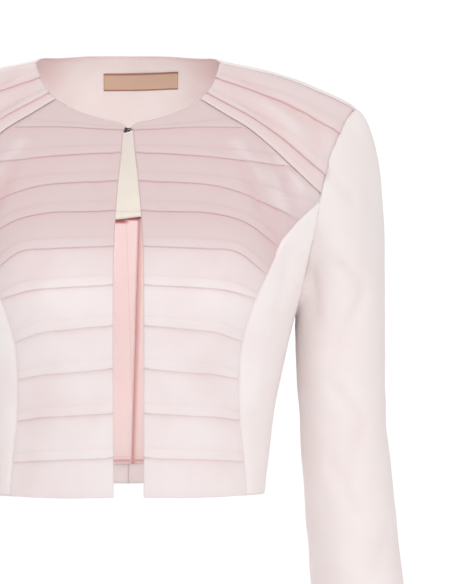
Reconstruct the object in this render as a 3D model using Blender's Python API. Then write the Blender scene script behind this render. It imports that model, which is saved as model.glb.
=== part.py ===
"""Cropped bolero jacket, hollow, in the form that a wearer gives it.

Lengths in the tables are millimetres. X runs to the wearer's left, -Y to the front and +Z up.
The origin lies on the centre plane, level with the shoulders' neck ends, in the plane of the side seams.
"""

import math
from collections import namedtuple

import bmesh
import bpy
from mathutils import Vector
from mathutils.bvhtree import BVHTree

MILLIMETRE = 0.001

# Cloth
SHELL = 1.4
FACING_CLOTH = 1.0
LINING_CLOTH = 0.9
LABEL_CLOTH = 0.6
SEAM_GAP = 0.5
SLEEVE_GAP = 0.7
YOKE_GAP = 0.8
LAYER_GAP = 0.4

# Levels, all heights over the origin
UNDERARM = -228.0
HEM = -380.0
HEM_DROP = 5.0
HEM_DROP_FROM = -300.0

# Figure that the cut is made for
SQUARENESS = 2.4
SHOULDER_ROLL = 90.0
SHOULDER_SEAM_TURN = math.radians(15)
SEAM_TURN_GAP = 0.0046
BUST_FULLNESS = 0.12
BUST_ACROSS = 82.0
BUST_HEIGHT = -205.0
BUST_SPREAD_ACROSS = 46.0
BUST_SPREAD_UP = 58.0

Ring = namedtuple("Ring", "height half_width front back")
RINGS = [
    Ring(-390, 120.8, 94, 84),
    Ring(-360, 123.1, 98, 85),
    Ring(-310, 129.0, 107, 90),
    Ring(-280, 134.9, 113, 94),
    Ring(-228, 147.0, 120, 103),
    Ring(-210, 152.5, 120, 107),
    Ring(-194, 157.5, 118, 109),
    Ring(-165, 169.5, 114, 111),
    Ring(-128, 193.0, 103, 111),
    Ring(-104, 200.0, 95, 108),
    Ring(-77, 204.0, 84, 105),
    Ring(-44, 206.0, 69, 102),
    Ring(0, 208.0, 52, 104),
    Ring(30, 209.0, 45, 106),
]

Crest = namedtuple("Crest", "across height")
SHOULDER_CREST = [
    Crest(-30, 12.4),
    Crest(0, 15.6),
    Crest(30, 12.4),
    Crest(50, 8.0),
    Crest(65, 3.2),
    Crest(80.5, -2.0),
    Crest(95, -5.4),
    Crest(110, -8.6),
    Crest(127.5, -12.6),
    Crest(148, -19.0),
    Crest(165.5, -26.0),
    Crest(183, -33.5),
    Crest(200.5, -43.0),
    Crest(212, -53.0),
]

# Where each seam lies, seen from the front
SeamPlace = namedtuple("SeamPlace", "height across")
ARMHOLE = [
    SeamPlace(-228.0, 147.0),
    SeamPlace(-210.0, 150.5),
    SeamPlace(-194.0, 153.5),
    SeamPlace(-179.0, 156.5),
    SeamPlace(-160.0, 159.8),
    SeamPlace(-140.0, 162.7),
    SeamPlace(-121.0, 166.0),
    SeamPlace(-104.0, 170.0),
    SeamPlace(-88.0, 174.9),
    SeamPlace(-73.7, 181.7),
    SeamPlace(-57.0, 190.2),
    SeamPlace(-46.0, 198.5),
    SeamPlace(-43.0, 200.5),
]
ARMHOLE_YOKE = [-52.0, -61.0, -68.0, -70.0, -85.0, -97.0, -104.3, -106.0, -121.0]
ARMHOLE_SIDE = [-128.0, -140.0, -158.0, -177.0, -194.0, -207.0, -217.0, -223.5, UNDERARM]
ARMHOLE_BACK = [-50.0, -60.0, -74.0, -88.0, -104.0, -123.0, -141.0, -158.0, -177.0]
ARMHOLE_BACK_LOW = [-194.0, -207.0, -217.0, -223.5, UNDERARM]
PRINCESS_SEAM = [
    SeamPlace(-382.0, 103.2),
    SeamPlace(-351.0, 100.1),
    SeamPlace(-315.0, 96.0),
    SeamPlace(-278.5, 94.1),
    SeamPlace(-250.0, 95.6),
    SeamPlace(-235.7, 98.9),
    SeamPlace(-207.5, 109.4),
    SeamPlace(-192.2, 116.8),
    SeamPlace(-168.0, 129.0),
    SeamPlace(-157.0, 135.7),
    SeamPlace(-145.8, 144.6),
    SeamPlace(-135.8, 155.6),
    SeamPlace(-128.0, 164.6),
]
YOKE_SEAM = [
    SeamPlace(-121.0, 166.0),
    SeamPlace(-110.3, 153.3),
    SeamPlace(-98.3, 140.5),
    SeamPlace(-82.0, 123.2),
    SeamPlace(-65.0, 102.5),
    SeamPlace(-51.8, 81.4),
    SeamPlace(-39.6, 61.9),
]
FRONT_EDGE = [
    SeamPlace(-384, 12.7),
    SeamPlace(-186, 12.5),
    SeamPlace(-141, 10.6),
    SeamPlace(-107, 7.9),
    SeamPlace(-88, 5.8),
    SeamPlace(-61.4, 3.5),
]

# Tucks of the front panel, from the hem up: height of each fold at quarters of the panel's width
Tuck = namedtuple("Tuck", "name edge quarter half three_quarters seam")
FRONT_ROWS = [
    Tuck("hem", HEM, -380.5, -381, -381.2, -381.2),
    Tuck("tuck_10", -344.2, -345.3, -346.4, -348, -351),
    Tuck("tuck_9", -306.2, -307.4, -308.8, -310.6, -315),
    Tuck("tuck_8", -267.9, -270.0, -271.9, -274, -278.5),
    Tuck("tuck_7", -231.9, -233.2, -235.3, -238, -246.7),
    Tuck("tuck_6", -198.0, -199.0, -200.3, -202.8, -210.5),
    Tuck("tuck_5", -165.7, -166.5, -167.7, -170.5, -190.4),
    Tuck("tuck_4", -135.9, -136.7, -138.0, -146.0, -167.6),
    Tuck("tuck_3", -110.5, -112.0, -115.5, -127.0, -144.6),
    Tuck("tuck_2", -86.5, -88.0, -90.5, -94.5, -98.3),
    Tuck("tuck_1", -67.0, -65.8, -64.8, -64.6, -65.0),
    Tuck("neckline", -61.4, -58.3, -54.0, -48.4, -39.6),
]
TUCK_RISE = 1.3
TUCK_DEPTH = 8.0
TUCK_UNDERCUT = 0.8
FRONT_COLUMNS = 10

# Yoke rows from its lower seam up: heights at the neckline and at the armhole, and how far each is raised
YokeRow = namedtuple("YokeRow", "name neck arm rise")
YOKE_ROWS = [
    YokeRow("lower_edge", -39.6, -121.0, 0.9),
    YokeRow("under_tuck_1", -34.4, -106.0, 0.0),
    YokeRow("tuck_1", -33.0, -104.3, 1.3),
    YokeRow("over_tuck_1", -30.0, -97.0, 0.0),
    YokeRow("middle", -25.5, -85.0, 0.0),
    YokeRow("under_tuck_2", -20.9, -70.0, 0.0),
    YokeRow("tuck_2", -19.5, -68.0, 1.3),
    YokeRow("over_tuck_2", -16.0, -61.0, 0.0),
    YokeRow("below_shoulder", -11.0, -52.0, 0.0),
    YokeRow("shoulder_seam", -6.0, -46.0, 0.5),
]
NECKLINE = [
    SeamPlace(-39.6, 61.9),
    SeamPlace(-32.5, 69.0),
    SeamPlace(-21.8, 75.1),
    SeamPlace(-12.0, 78.6),
    SeamPlace(-6.0, 80.3),
]
NECK_CORNER = 80.3
SHOULDER_CORNER = 200.5
YOKE_COLUMNS = 9

# Soft folds pressed into the front: from one end to the other, with half width and depth
Fold = namedtuple("Fold", "x0 z0 x1 z1 spread depth")
FRONT_FOLDS = [
    Fold(88, -76, 112, -110, 7, -1.4),
    Fold(96, -88, 130, -164, 8, 2.4),
    Fold(132, -106, 144, -140, 7, 1.6),
    Fold(98, -30, 130, -66, 8, 1.6),
    Fold(60, -262, 88, -330, 14, 1.2),
    Fold(176, -66, 166, -106, 6, -1.0),
]

# Back: shares of the way from the centre to the side, and levels from the hem to the shoulder blades
BACK_SHARES = [0.0, 0.06, 0.12, 0.17, 0.2, 0.225, 0.25, 0.32, 0.4, 0.5, 0.6, 0.73, 0.86, 1.0]
BACK_LEVELS = [-380.0, -362.0, -341.0, -318.0, -293.0, -268.0, -247.0]

# The back's neckline: how many degrees behind the shoulder's crest it lies
NeckPlace = namedtuple("NeckPlace", "across degrees")
BACK_NECK = [
    NeckPlace(-36, 22.5),
    NeckPlace(0, 28.1),
    NeckPlace(36, 22.5),
    NeckPlace(58, 16.0),
    NeckPlace(70, 8.0),
    NeckPlace(76.5, -2.0),
    NeckPlace(80.3, -14.7),
]

# Sleeve below the cap
Arm = namedtuple("Arm", "height across forward half_width half_depth")
SLEEVE_RINGS = [
    Arm(-606, 214.0, -37, 37.5, 41),
    Arm(-530, 207.4, -27, 39.6, 43),
    Arm(-465, 201.7, -18, 40.6, 45),
    Arm(-412, 196.8, -11, 39.8, 46),
    Arm(-371, 193.6, -6, 39.4, 47),
    Arm(-331, 191.0, -2, 38.8, 48),
    Arm(-282, 188.5, 1, 39.4, 50),
    Arm(-240, 187.6, 2, 39.8, 51),
]
SLEEVE_LEVELS = [-262, -284, -308, -334, -362, -392, -426, -464, -510, -560, -603, -606]
CAP_STEPS = [0.0, 0.04, 0.1, 0.18, 0.28, 0.4, 0.54, 0.7, 0.85, 1.0]
CAP_FOOT = -240.0
CAP_LEAVES_OUT = 0.46
CAP_LEAVES_DOWN = 0.30
CAP_ARRIVES = 1.0

# Inside of the back
FACING_ROWS_FROM = -141.0
FACING_COLUMNS = 11
LINING_TOP = -124.0
LINING_HEM = -364.0
PLEAT_TOP = 10.3
PLEAT_FOOT = 2.7
PLEAT_WIDTH = 8.2
PLEAT_LIFT = LINING_CLOTH + LAYER_GAP
LABEL_WIDTH = 68.0
LABEL_HEIGHT = 15.0
LABEL_ACROSS = 11.5
LABEL_LEVEL = -16.5
LABEL_TILT = 0.02
LABEL_GAP = 0.4
LABEL_COLUMNS = 8
LABEL_ROWS = 3

# Hook and eye
WIRE = 0.9
CLOSURE_LEVEL = -65.2
WIRE_SIDES = 6
HOOK = [
    (7.4, 1.7, 0.9),
    (8.4, 3.0, 0.9),
    (10.2, 3.0, 0.9),
    (10.8, 1.6, 0.9),
    (9.2, 0.75, 0.9),
    (3.0, 0.75, 0.9),
    (-2.2, 0.75, 0.9),
    (-3.5, 0.75, 2.2),
    (-2.2, 0.75, 3.5),
    (0.6, 0.6, 3.5),
    (1.4, 0.0, 3.5),
    (0.6, -0.6, 3.5),
    (-2.2, -0.75, 3.5),
    (-3.5, -0.75, 2.2),
    (-2.2, -0.75, 0.9),
    (3.0, -0.75, 0.9),
    (9.2, -0.75, 0.9),
    (10.8, -1.6, 0.9),
    (10.2, -3.0, 0.9),
    (8.4, -3.0, 0.9),
    (7.4, -1.7, 0.9),
]
EYE = [
    (-9.0, 0.7, 0.9),
    (-10.6, 0.8, 0.9),
    (-11.4, 2.2, 0.9),
    (-10.2, 3.3, 0.9),
    (-7.8, 2.9, 0.9),
    (-4.4, 2.4, 1.5),
    (-1.9, 2.3, 2.2),
    (-1.2, 1.4, 2.2),
    (-1.2, -1.4, 2.2),
    (-1.9, -2.3, 2.2),
    (-4.4, -2.4, 1.5),
    (-7.8, -2.9, 0.9),
    (-10.2, -3.3, 0.9),
    (-11.4, -2.2, 0.9),
    (-10.6, -0.8, 0.9),
    (-9.0, -0.7, 0.9),
]

ROSE = (0.83, 0.66, 0.66, 1.0)
PALE = (0.87, 0.81, 0.80, 1.0)
IVORY = (0.85, 0.80, 0.75, 1.0)
LINING_PINK = (0.86, 0.66, 0.64, 1.0)
SAND = (0.72, 0.53, 0.40, 1.0)
BLACK = (0.02, 0.02, 0.02, 1.0)


def remove_startup_objects():
    for thing in list(bpy.data.objects):
        bpy.data.objects.remove(thing)


def between(a, b, share):
    return a + (b - a) * share


def eased(share):
    share = min(1.0, max(0.0, share))
    return share * share * (3 - 2 * share)


def smooth_value(keys, values, place):
    """A value on a smooth curve through pairs whose keys rise; level beyond the ends."""
    last = len(keys) - 1
    i = 0
    while i < last - 1 and place > keys[i + 1]:
        i += 1

    def slope(k):
        a, b = max(0, k - 1), min(last, k + 1)
        return (values[b] - values[a]) / (keys[b] - keys[a])

    step = keys[i + 1] - keys[i]
    t = min(1.0, max(0.0, (place - keys[i]) / step))
    start = (2 * t**3 - 3 * t**2 + 1) * values[i] + (t**3 - 2 * t**2 + t) * step * slope(i)
    end = (3 * t**2 - 2 * t**3) * values[i + 1] + (t**3 - t**2) * step * slope(i + 1)
    return start + end


def along(rows, key, value, place):
    return smooth_value([getattr(r, key) for r in rows], [getattr(r, value) for r in rows], place)


def armhole_across(z):
    return along(ARMHOLE, "height", "across", z)


# The figure: a ring at each height, rolled over to the shoulder's crest


def crest(x):
    return along(SHOULDER_CREST, "across", "height", abs(x))


def ring_width(z):
    return along(RINGS, "height", "half_width", z)


def bust(x, z):
    a = (abs(x) - BUST_ACROSS) / BUST_SPREAD_ACROSS
    b = (z - BUST_HEIGHT) / BUST_SPREAD_UP
    return BUST_FULLNESS * math.exp(-a * a - b * b)


def figure(x, z, side):
    """The cloth's outer face at a place seen from the front; side is -1 in front and 1 behind."""
    deep = along(RINGS, "height", "front" if side < 0 else "back", z)
    across = max(0.0, 1 - (abs(x) / ring_width(z)) ** SQUARENESS) ** (1 / SQUARENESS)
    if side < 0:
        deep *= 1 + bust(x, z)
    t = min(1.0, max(0.0, 1 - (crest(x) - z) / SHOULDER_ROLL))
    return Vector((x, side * deep * across * math.sqrt(1 - t * t), z))


def over_shoulder(x, turn):
    """The outer face at a turn about the shoulder's crest: below 0 in front, above 0 behind."""
    angle = abs(turn)
    if angle < math.pi / 2:
        drop = SHOULDER_ROLL * (1 - math.cos(angle))
    else:
        drop = SHOULDER_ROLL * (1 + angle - math.pi / 2)
    return figure(x, crest(x) - drop, -1 if turn < 0 else 1)


def shoulder_turn(x, z):
    """How far round the shoulder's crest a height lies."""
    drop = max(0.0, crest(x) - z) / SHOULDER_ROLL
    return math.acos(1 - drop) if drop < 1 else drop - 1 + math.pi / 2


def ring_turn(x, z):
    """How far round its ring a place lies: 0 at the side and 1 at the centre."""
    share = min(1.0, abs(x) / ring_width(z)) ** (SQUARENESS / 2)
    return math.acos(share) / (math.pi / 2)


def ring_across(turn, z):
    return ring_width(z) * math.cos(turn * math.pi / 2) ** (2 / SQUARENESS)


def on_chords(stations, heights, z):
    """A point on the straight stretches between a seam's stations, so that both sides of it meet."""
    for k in range(len(heights) - 1):
        high, low = heights[k], heights[k + 1]
        if high >= z >= low:
            return stations[k].lerp(stations[k + 1], (high - z) / (high - low))
    return (stations[0] if z > heights[0] else stations[-1]).copy()


# Walls


def grid_normals(points, facing, closed):
    """Unit normals of a grid; facing is 1 where columns run to +X seen from outside, else -1."""
    rows, columns = len(points), len(points[0])
    normals = []
    for j in range(rows):
        line = []
        for i in range(columns):
            if closed:
                west = points[j][(i - 1) % (columns - 1)]
                east = points[j][(i + 1) % (columns - 1)]
            else:
                west, east = points[j][max(0, i - 1)], points[j][min(columns - 1, i + 1)]
            south, north = points[max(0, j - 1)][i], points[min(rows - 1, j + 1)][i]
            line.append((east - west).cross(north - south).normalized() * facing)
        normals.append(line)
    if not closed:
        for line in normals:
            line[0] = (line[0] * 2 - line[1]).normalized()
            line[-1] = (line[-1] * 2 - line[-2]).normalized()
    normals[0] = [(a * 2 - b).normalized() for a, b in zip(normals[0], normals[1])]
    normals[-1] = [(a * 2 - b).normalized() for a, b in zip(normals[-1], normals[-2])]
    return normals


def moved(points, amounts, facing=1, closed=False):
    """The grid with each row moved outwards by its amount."""
    normals = grid_normals(points, facing, closed)
    return [
        [p + n * amount for p, n in zip(line, line_normals)]
        for line, line_normals, amount in zip(points, normals, amounts)
    ]


def finish(name, bm, colour, roughness=0.6, metallic=0.0):
    bmesh.ops.recalc_face_normals(bm, faces=bm.faces[:])
    if bm.calc_volume(signed=True) < 0:
        bmesh.ops.reverse_faces(bm, faces=bm.faces[:])
    mesh = bpy.data.meshes.new(name)
    bm.to_mesh(mesh)
    bm.free()
    body = bpy.data.objects.new(name, mesh)
    bpy.context.scene.collection.objects.link(body)
    mesh.shade_smooth()
    mesh.set_sharp_from_angle(angle=math.radians(40))
    made = bpy.data.materials.new(name)
    made.use_nodes = True
    shader = made.node_tree.nodes["Principled BSDF"]
    shader.inputs["Base Color"].default_value = colour
    shader.inputs["Roughness"].default_value = roughness
    shader.inputs["Metallic"].default_value = metallic
    made.diffuse_color = colour
    mesh.materials.append(made)
    return body


def split_quads(bm, mirrored):
    """Splits the two layers' quads along one diagonal, so that walls that lie together bend alike."""
    for face in [f for f in bm.faces if abs(f.normal.z) > 0.5]:
        slant = -1 if mirrored and face.calc_center_median().x < 0 else 1
        corners = sorted(face.verts, key=lambda v: v.co.x * slant + v.co.y)
        bmesh.utils.face_split(face, corners[0], corners[-1])


def wall(name, outer, inner, colour, hand=1, closed=False, mirrored=False):
    """A closed wall of cloth between two grids of points. hand is -1 for the wearer's right."""
    columns, rows = len(outer[0]) - 1, len(outer) - 1
    bm = bmesh.new()
    bmesh.ops.create_grid(bm, x_segments=columns, y_segments=rows, size=0.5)
    raised = bmesh.ops.extrude_face_region(bm, geom=bm.faces[:], use_keep_orig=True)
    tops = [part for part in raised["geom"] if isinstance(part, bmesh.types.BMVert)]
    bmesh.ops.translate(bm, verts=tops, vec=(0, 0, 1))
    if closed:
        ends = [f for f in bm.faces if abs(abs(f.calc_center_median().x) - 0.5) < 1e-6]
        bmesh.ops.delete(bm, geom=ends, context="FACES")
    bm.normal_update()
    split_quads(bm, mirrored)
    for vertex in bm.verts:
        i = round((vertex.co.x + 0.5) * columns)
        j = round((vertex.co.y + 0.5) * rows)
        x, y, z = (inner if vertex.co.z > 0.5 else outer)[j][i]
        vertex.co = Vector((x * hand, y, z)) * MILLIMETRE
    if closed:
        bmesh.ops.remove_doubles(bm, verts=bm.verts[:], dist=MILLIMETRE * 1e-3)
    return finish(name, bm, colour)


# Front panels


def front_height(share, row):
    """Height of the front panel's lines: row 0 is the hem and each whole number a tuck's fold."""
    low = min(int(row), len(FRONT_ROWS) - 2)
    quarters = [0, 0.25, 0.5, 0.75, 1]
    heights = [smooth_value(quarters, FRONT_ROWS[k][1:], share) for k in (low, low + 1)]
    return between(heights[0], heights[1], row - low)


def front_row_at(height):
    """The row whose outer end lies at a height."""
    low, high = 8.0, 9.0
    for _ in range(40):
        middle = (low + high) / 2
        if front_height(1.0, middle) < height:
            low = middle
        else:
            high = middle
    return low


def front_rows():
    """Rows of the front panel as (row, rise): below each tuck's fold, on it and at its stitches."""
    rows = [(0.0, 0.0), (0.55, 0.0)]
    for k in range(1, len(FRONT_ROWS) - 1):
        below = FRONT_ROWS[k].edge - FRONT_ROWS[k - 1].edge
        above = FRONT_ROWS[k + 1].edge - FRONT_ROWS[k].edge
        rows.append((k - TUCK_UNDERCUT / below, 0.0))
        rows.append((float(k), TUCK_RISE))
        rows.append((k + min(TUCK_DEPTH, above * 0.45) / above, 0.0))
    rows.append((len(FRONT_ROWS) - 1.0, 0.0))
    rows.append((front_row_at(ARMHOLE_SIDE[0]), 0.0))
    rows.append((front_row_at(ARMHOLE_YOKE[-1]), 0.0))
    return sorted(rows)


def front_outline(z):
    if z <= PRINCESS_SEAM[-1].height:
        return along(PRINCESS_SEAM, "height", "across", z)
    if z < YOKE_SEAM[0].height:
        return armhole_across(z)
    return along(YOKE_SEAM, "height", "across", z)


def fold_depth(x, z):
    """How deep the soft folds press the cloth in at a place."""
    total = 0.0
    for fold in FRONT_FOLDS:
        dx, dz = fold.x1 - fold.x0, fold.z1 - fold.z0
        t = ((x - fold.x0) * dx + (z - fold.z0) * dz) / (dx * dx + dz * dz)
        away = math.hypot(x - fold.x0 - t * dx, z - fold.z0 - t * dz) / fold.spread
        window = eased((t + 0.2) / 0.4) * eased((1.2 - t) / 0.4)
        total += fold.depth * window * math.exp(-away * away)
    return total


def front_skin(x, z):
    return figure(x, z, -1) + Vector((0, fold_depth(x, z), 0))


def front_point(share, row):
    left = along(FRONT_EDGE, "height", "across", front_height(0.0, row))
    right = front_outline(front_height(1.0, row))
    return front_skin(between(left, right, share), front_height(share, row))


def front_panel(name, hand):
    rows = front_rows()
    points = []
    for row, _ in rows:
        points.append([front_point(k / FRONT_COLUMNS, row) for k in range(FRONT_COLUMNS + 1)])
    for line in points:
        inwards = line[-2] - line[-1]
        line[-1] = line[-1] + inwards.normalized() * SEAM_GAP / 2
    outer = moved(points, [rise for _, rise in rows])
    inner = moved(points, [-SHELL] * len(rows))
    return wall(name, outer, inner, ROSE, hand)


def front_stations(lowest, highest):
    """The front panel's outer edge between two heights, from the top down."""
    points = [front_point(1.0, row) for row, _ in front_rows()]
    kept = [p for p in points if lowest - 0.01 <= p.z <= highest + 0.01]
    return kept[::-1]


# Side panels, from the princess seam to the side seam


def hem_drop(z, round_to_back):
    """How much lower the hem hangs at the sides and the back than in front."""
    return HEM_DROP * round_to_back * eased((HEM_DROP_FROM - z) / 80)


def side_panel(name, hand):
    stations = front_stations(-400, ARMHOLE_SIDE[0])
    heights = [p.z for p in stations]
    levels = [-133.0] + [z for z in ARMHOLE_SIDE if z < -135]
    levels += [-245.0, -262.0, -278.0, -296.0, -315.0, -333.0, -351.0, -366.0, stations[-1].z]
    points = []
    for z in levels:
        near = on_chords(stations, heights, z)
        far_turn = ring_turn(armhole_across(z), z) if z > UNDERARM else 0.0
        near_turn = ring_turn(near.x, z)
        line = [near]
        for k in range(1, 7):
            share = k / 6
            dropped = z - hem_drop(z, share * 0.6)
            line.append(figure(ring_across(between(near_turn, far_turn, share), dropped), dropped, -1))
        line[0] = line[0] + (line[1] - line[0]).normalized() * SEAM_GAP / 2
        if z <= UNDERARM:
            line[-1] = line[-1] + (line[-2] - line[-1]).normalized() * SEAM_GAP / 2
        points.append(line)
    points.reverse()
    inner = moved(points, [-SHELL] * len(points))
    return wall(name, points, inner, PALE, hand)


# Yokes, from the neckline to the armhole


def yoke_grid():
    last = len(YOKE_ROWS) - 1
    seam = -SHOULDER_SEAM_TURN - SEAM_TURN_GAP
    stations = front_stations(ARMHOLE_YOKE[-1], -39.0)
    chord_keys = [-p.x for p in stations]
    ends = []
    for k, row in enumerate(YOKE_ROWS):
        neck_x = along(NECKLINE, "height", "across", row.neck)
        arm_x = armhole_across(row.arm)
        neck_turn, arm_turn = -shoulder_turn(neck_x, row.neck), -shoulder_turn(arm_x, row.arm)
        if k == last:
            neck_x, neck_turn, arm_x, arm_turn = NECK_CORNER, seam, SHOULDER_CORNER, seam
        ends.append((neck_x, neck_turn, arm_x, arm_turn))
    points = []
    for k, (neck_x, neck_turn, arm_x, arm_turn) in enumerate(ends):
        up = k / last
        line = []
        for i in range(YOKE_COLUMNS + 1):
            share = i / YOKE_COLUMNS
            x = between(neck_x, arm_x, share)
            turn = between(neck_turn, arm_turn, share)
            low_x = between(ends[0][0], ends[0][2], share)
            low_z = smooth_value(
                [r.across for r in YOKE_SEAM][::-1], [r.height for r in YOKE_SEAM][::-1], low_x
            )
            bend = -shoulder_turn(low_x, low_z) - between(ends[0][1], ends[0][3], share)
            p = over_shoulder(x, turn + bend * (1 - up) ** 2)
            p.y += fold_depth(p.x, p.z) * min(1.0, (1 - up) * 3)
            if k == 0:
                p = on_chords(stations, chord_keys, -p.x)
            line.append(p)
        points.append(line)
    points[0] = [p + (q - p).normalized() * YOKE_GAP for p, q in zip(points[0], points[1])]
    return points


def yoke(name, hand):
    points = yoke_grid()
    outer = moved(points, [row.rise for row in YOKE_ROWS])
    inner = moved(points, [-SHELL] * len(points))
    return wall(name, outer, inner, ROSE, hand)


# Back


def back_top_turn(x):
    """The back's upper edge: the neckline, then the shoulder seam, a little in front of the crest."""
    seam = -SHOULDER_SEAM_TURN + SEAM_TURN_GAP
    if x >= NECK_CORNER:
        return seam
    return math.radians(along(BACK_NECK, "across", "degrees", x))


def back_levels():
    return BACK_LEVELS + ARMHOLE_BACK_LOW[::-1] + [z for z in ARMHOLE_BACK[::-1] if z <= FACING_ROWS_FROM]


def back_level_point(share, z):
    edge = ring_turn(armhole_across(z), z) if z > UNDERARM else 0.0
    dropped = z - hem_drop(z, 0.6 + 0.4 * (1 - share))
    return figure(ring_across(between(1.0, edge, share), dropped), dropped, 1)


def back_upper_lines():
    """The back from the shoulder blades to its upper edge, row by row."""
    heights = [z for z in ARMHOLE_BACK[::-1] if z > FACING_ROWS_FROM]
    ends = [(armhole_across(z), z, shoulder_turn(armhole_across(z), z)) for z in heights]
    ends.append((SHOULDER_CORNER, crest(SHOULDER_CORNER), 0.0))
    ends.append((SHOULDER_CORNER, crest(SHOULDER_CORNER), back_top_turn(SHOULDER_CORNER)))
    low_centre = shoulder_turn(0.0, FACING_ROWS_FROM)
    low_edge = shoulder_turn(armhole_across(FACING_ROWS_FROM), FACING_ROWS_FROM)
    top_z = crest(SHOULDER_CORNER)
    lines = []
    for k, (edge_x, edge_z, edge_turn) in enumerate(ends):
        up = (k + 1) / len(ends)
        centre = between(low_centre, back_top_turn(0.0), up)
        line = []
        for share in BACK_SHARES:
            x = ring_across(between(1.0, ring_turn(edge_x, edge_z), share), edge_z)
            level_x = ring_across(
                between(1.0, ring_turn(armhole_across(FACING_ROWS_FROM), FACING_ROWS_FROM), share),
                FACING_ROWS_FROM,
            )
            straight_low = between(low_centre, low_edge, share)
            bend_low = shoulder_turn(level_x, FACING_ROWS_FROM) - straight_low
            top_x = ring_across(between(1.0, ring_turn(SHOULDER_CORNER, top_z), share), top_z)
            bend_top = back_top_turn(top_x) - between(back_top_turn(0.0), ends[-1][2], share)
            turn = between(centre, edge_turn, share) + bend_low * (1 - up) + bend_top * up**3
            line.append(over_shoulder(x, turn))
        lines.append(line)
    return lines


def back_grid():
    points = [[back_level_point(share, z) for share in BACK_SHARES] for z in back_levels()]
    points += back_upper_lines()
    for line in points:
        line[0] = line[0] + Vector((SEAM_GAP / 2, 0, 0))
    for line in points[: len(BACK_LEVELS) + 1]:
        line[-1] = line[-1] + (line[-2] - line[-1]).normalized() * SEAM_GAP / 2
    return points


def back_panel(name, hand):
    points = back_grid()
    inner = moved(points, [-SHELL] * len(points), facing=-1)
    for line in inner:
        line[0].x = SEAM_GAP / 2
    return wall(name, points, inner, PALE, hand)


# Sleeves


def armhole_loop():
    """The armhole's stations once round, from the shoulder seam down the front and up the back."""
    loop = [over_shoulder(SHOULDER_CORNER, -SHOULDER_SEAM_TURN)]
    loop += [figure(armhole_across(z), z, -1) for z in ARMHOLE_YOKE + ARMHOLE_SIDE]
    loop += [figure(armhole_across(z), z, 1) for z in ARMHOLE_BACK_LOW[-2::-1] + ARMHOLE_BACK[::-1]]
    loop.append(over_shoulder(SHOULDER_CORNER, 0.0))
    return loop


def sleeve_ring(turns, z):
    arm = [along(SLEEVE_RINGS, "height", column, z) for column in Arm._fields[1:]]
    ring = []
    for turn in turns:
        x = arm[0] + arm[2] * math.cos(turn)
        ring.append(Vector((x, arm[1] - arm[3] * math.sin(turn), z)))
    return ring


def sleeve_grid():
    loop = armhole_loop()
    lengths = [0.0]
    for a, b in zip(loop, loop[1:] + loop[:1]):
        lengths.append(lengths[-1] + (b - a).length)
    under = lengths[len(ARMHOLE_YOKE) + len(ARMHOLE_SIDE)]
    turns = []
    for length in lengths[:-1]:
        if length <= under:
            turns.append(math.pi * length / under)
        else:
            turns.append(math.pi * (1 + (length - under) / (lengths[-1] - under)))
    foot = sleeve_ring(turns, CAP_FOOT)
    count = len(loop)
    lines = []
    for step in CAP_STEPS:
        line = []
        for k, start in enumerate(loop):
            along_edge = (loop[(k + 1) % count] - loop[k - 1]).normalized()
            out = Vector((1, 0, 0)) - along_edge * along_edge.x
            out = Vector((out.x, out.y * 0.3, out.z * 0.3)).normalized()
            begin = start + out * SLEEVE_GAP
            reach = (foot[k] - begin).length
            leave = (out * CAP_LEAVES_OUT + Vector((0, 0, -CAP_LEAVES_DOWN))) * reach
            arrive = Vector((0, 0, -CAP_ARRIVES * reach))
            t = step
            p = begin * (2 * t**3 - 3 * t**2 + 1) + leave * (t**3 - 2 * t**2 + t)
            p = p + foot[k] * (3 * t**2 - 2 * t**3) + arrive * (t**3 - t**2)
            line.append(p)
        lines.append(line)
    for z in SLEEVE_LEVELS:
        lines.append(sleeve_ring(turns, z))
    lines.reverse()
    return [line + [line[0].copy()] for line in lines]


def sleeve(name, hand):
    points = sleeve_grid()
    inner = moved(points, [-SHELL] * len(points), facing=-1, closed=True)
    return wall(name, points, inner, PALE, hand, closed=True)


# Inside of the back


def neck_facing():
    """The deep facing, hung inside the back from its neckline, mirrored about the centre."""
    rows = [back_level_point(share, FACING_ROWS_FROM) for share in BACK_SHARES]
    half = [line[:FACING_COLUMNS] for line in [rows] + back_upper_lines()]
    normals = grid_normals([rows] + back_upper_lines(), -1, False)
    near, far = [], []
    deep = SHELL + LINING_CLOTH + 2 * LAYER_GAP
    for j, line in enumerate(half):
        share = eased((j - 2) / 5)
        for cloth, face in ((0.0, near), (FACING_CLOTH, far)):
            side = []
            for i, p in enumerate(line):
                lapped = deep + PLEAT_LIFT * (1 - eased((p.x - 20) / 40))
                side.append(p - normals[j][i] * (between(lapped, SHELL + LAYER_GAP, share) + cloth))
            side[0].x = 0.0
            mirrored = [Vector((-p.x, p.y, p.z)) for p in side[:0:-1]]
            face.append(mirrored + side)
    return wall("neck_facing", near, far, IVORY, mirrored=True)


def pleat_across(z):
    return between(PLEAT_FOOT, PLEAT_TOP, (z - LINING_HEM) / (LINING_TOP - LINING_HEM))


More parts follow.
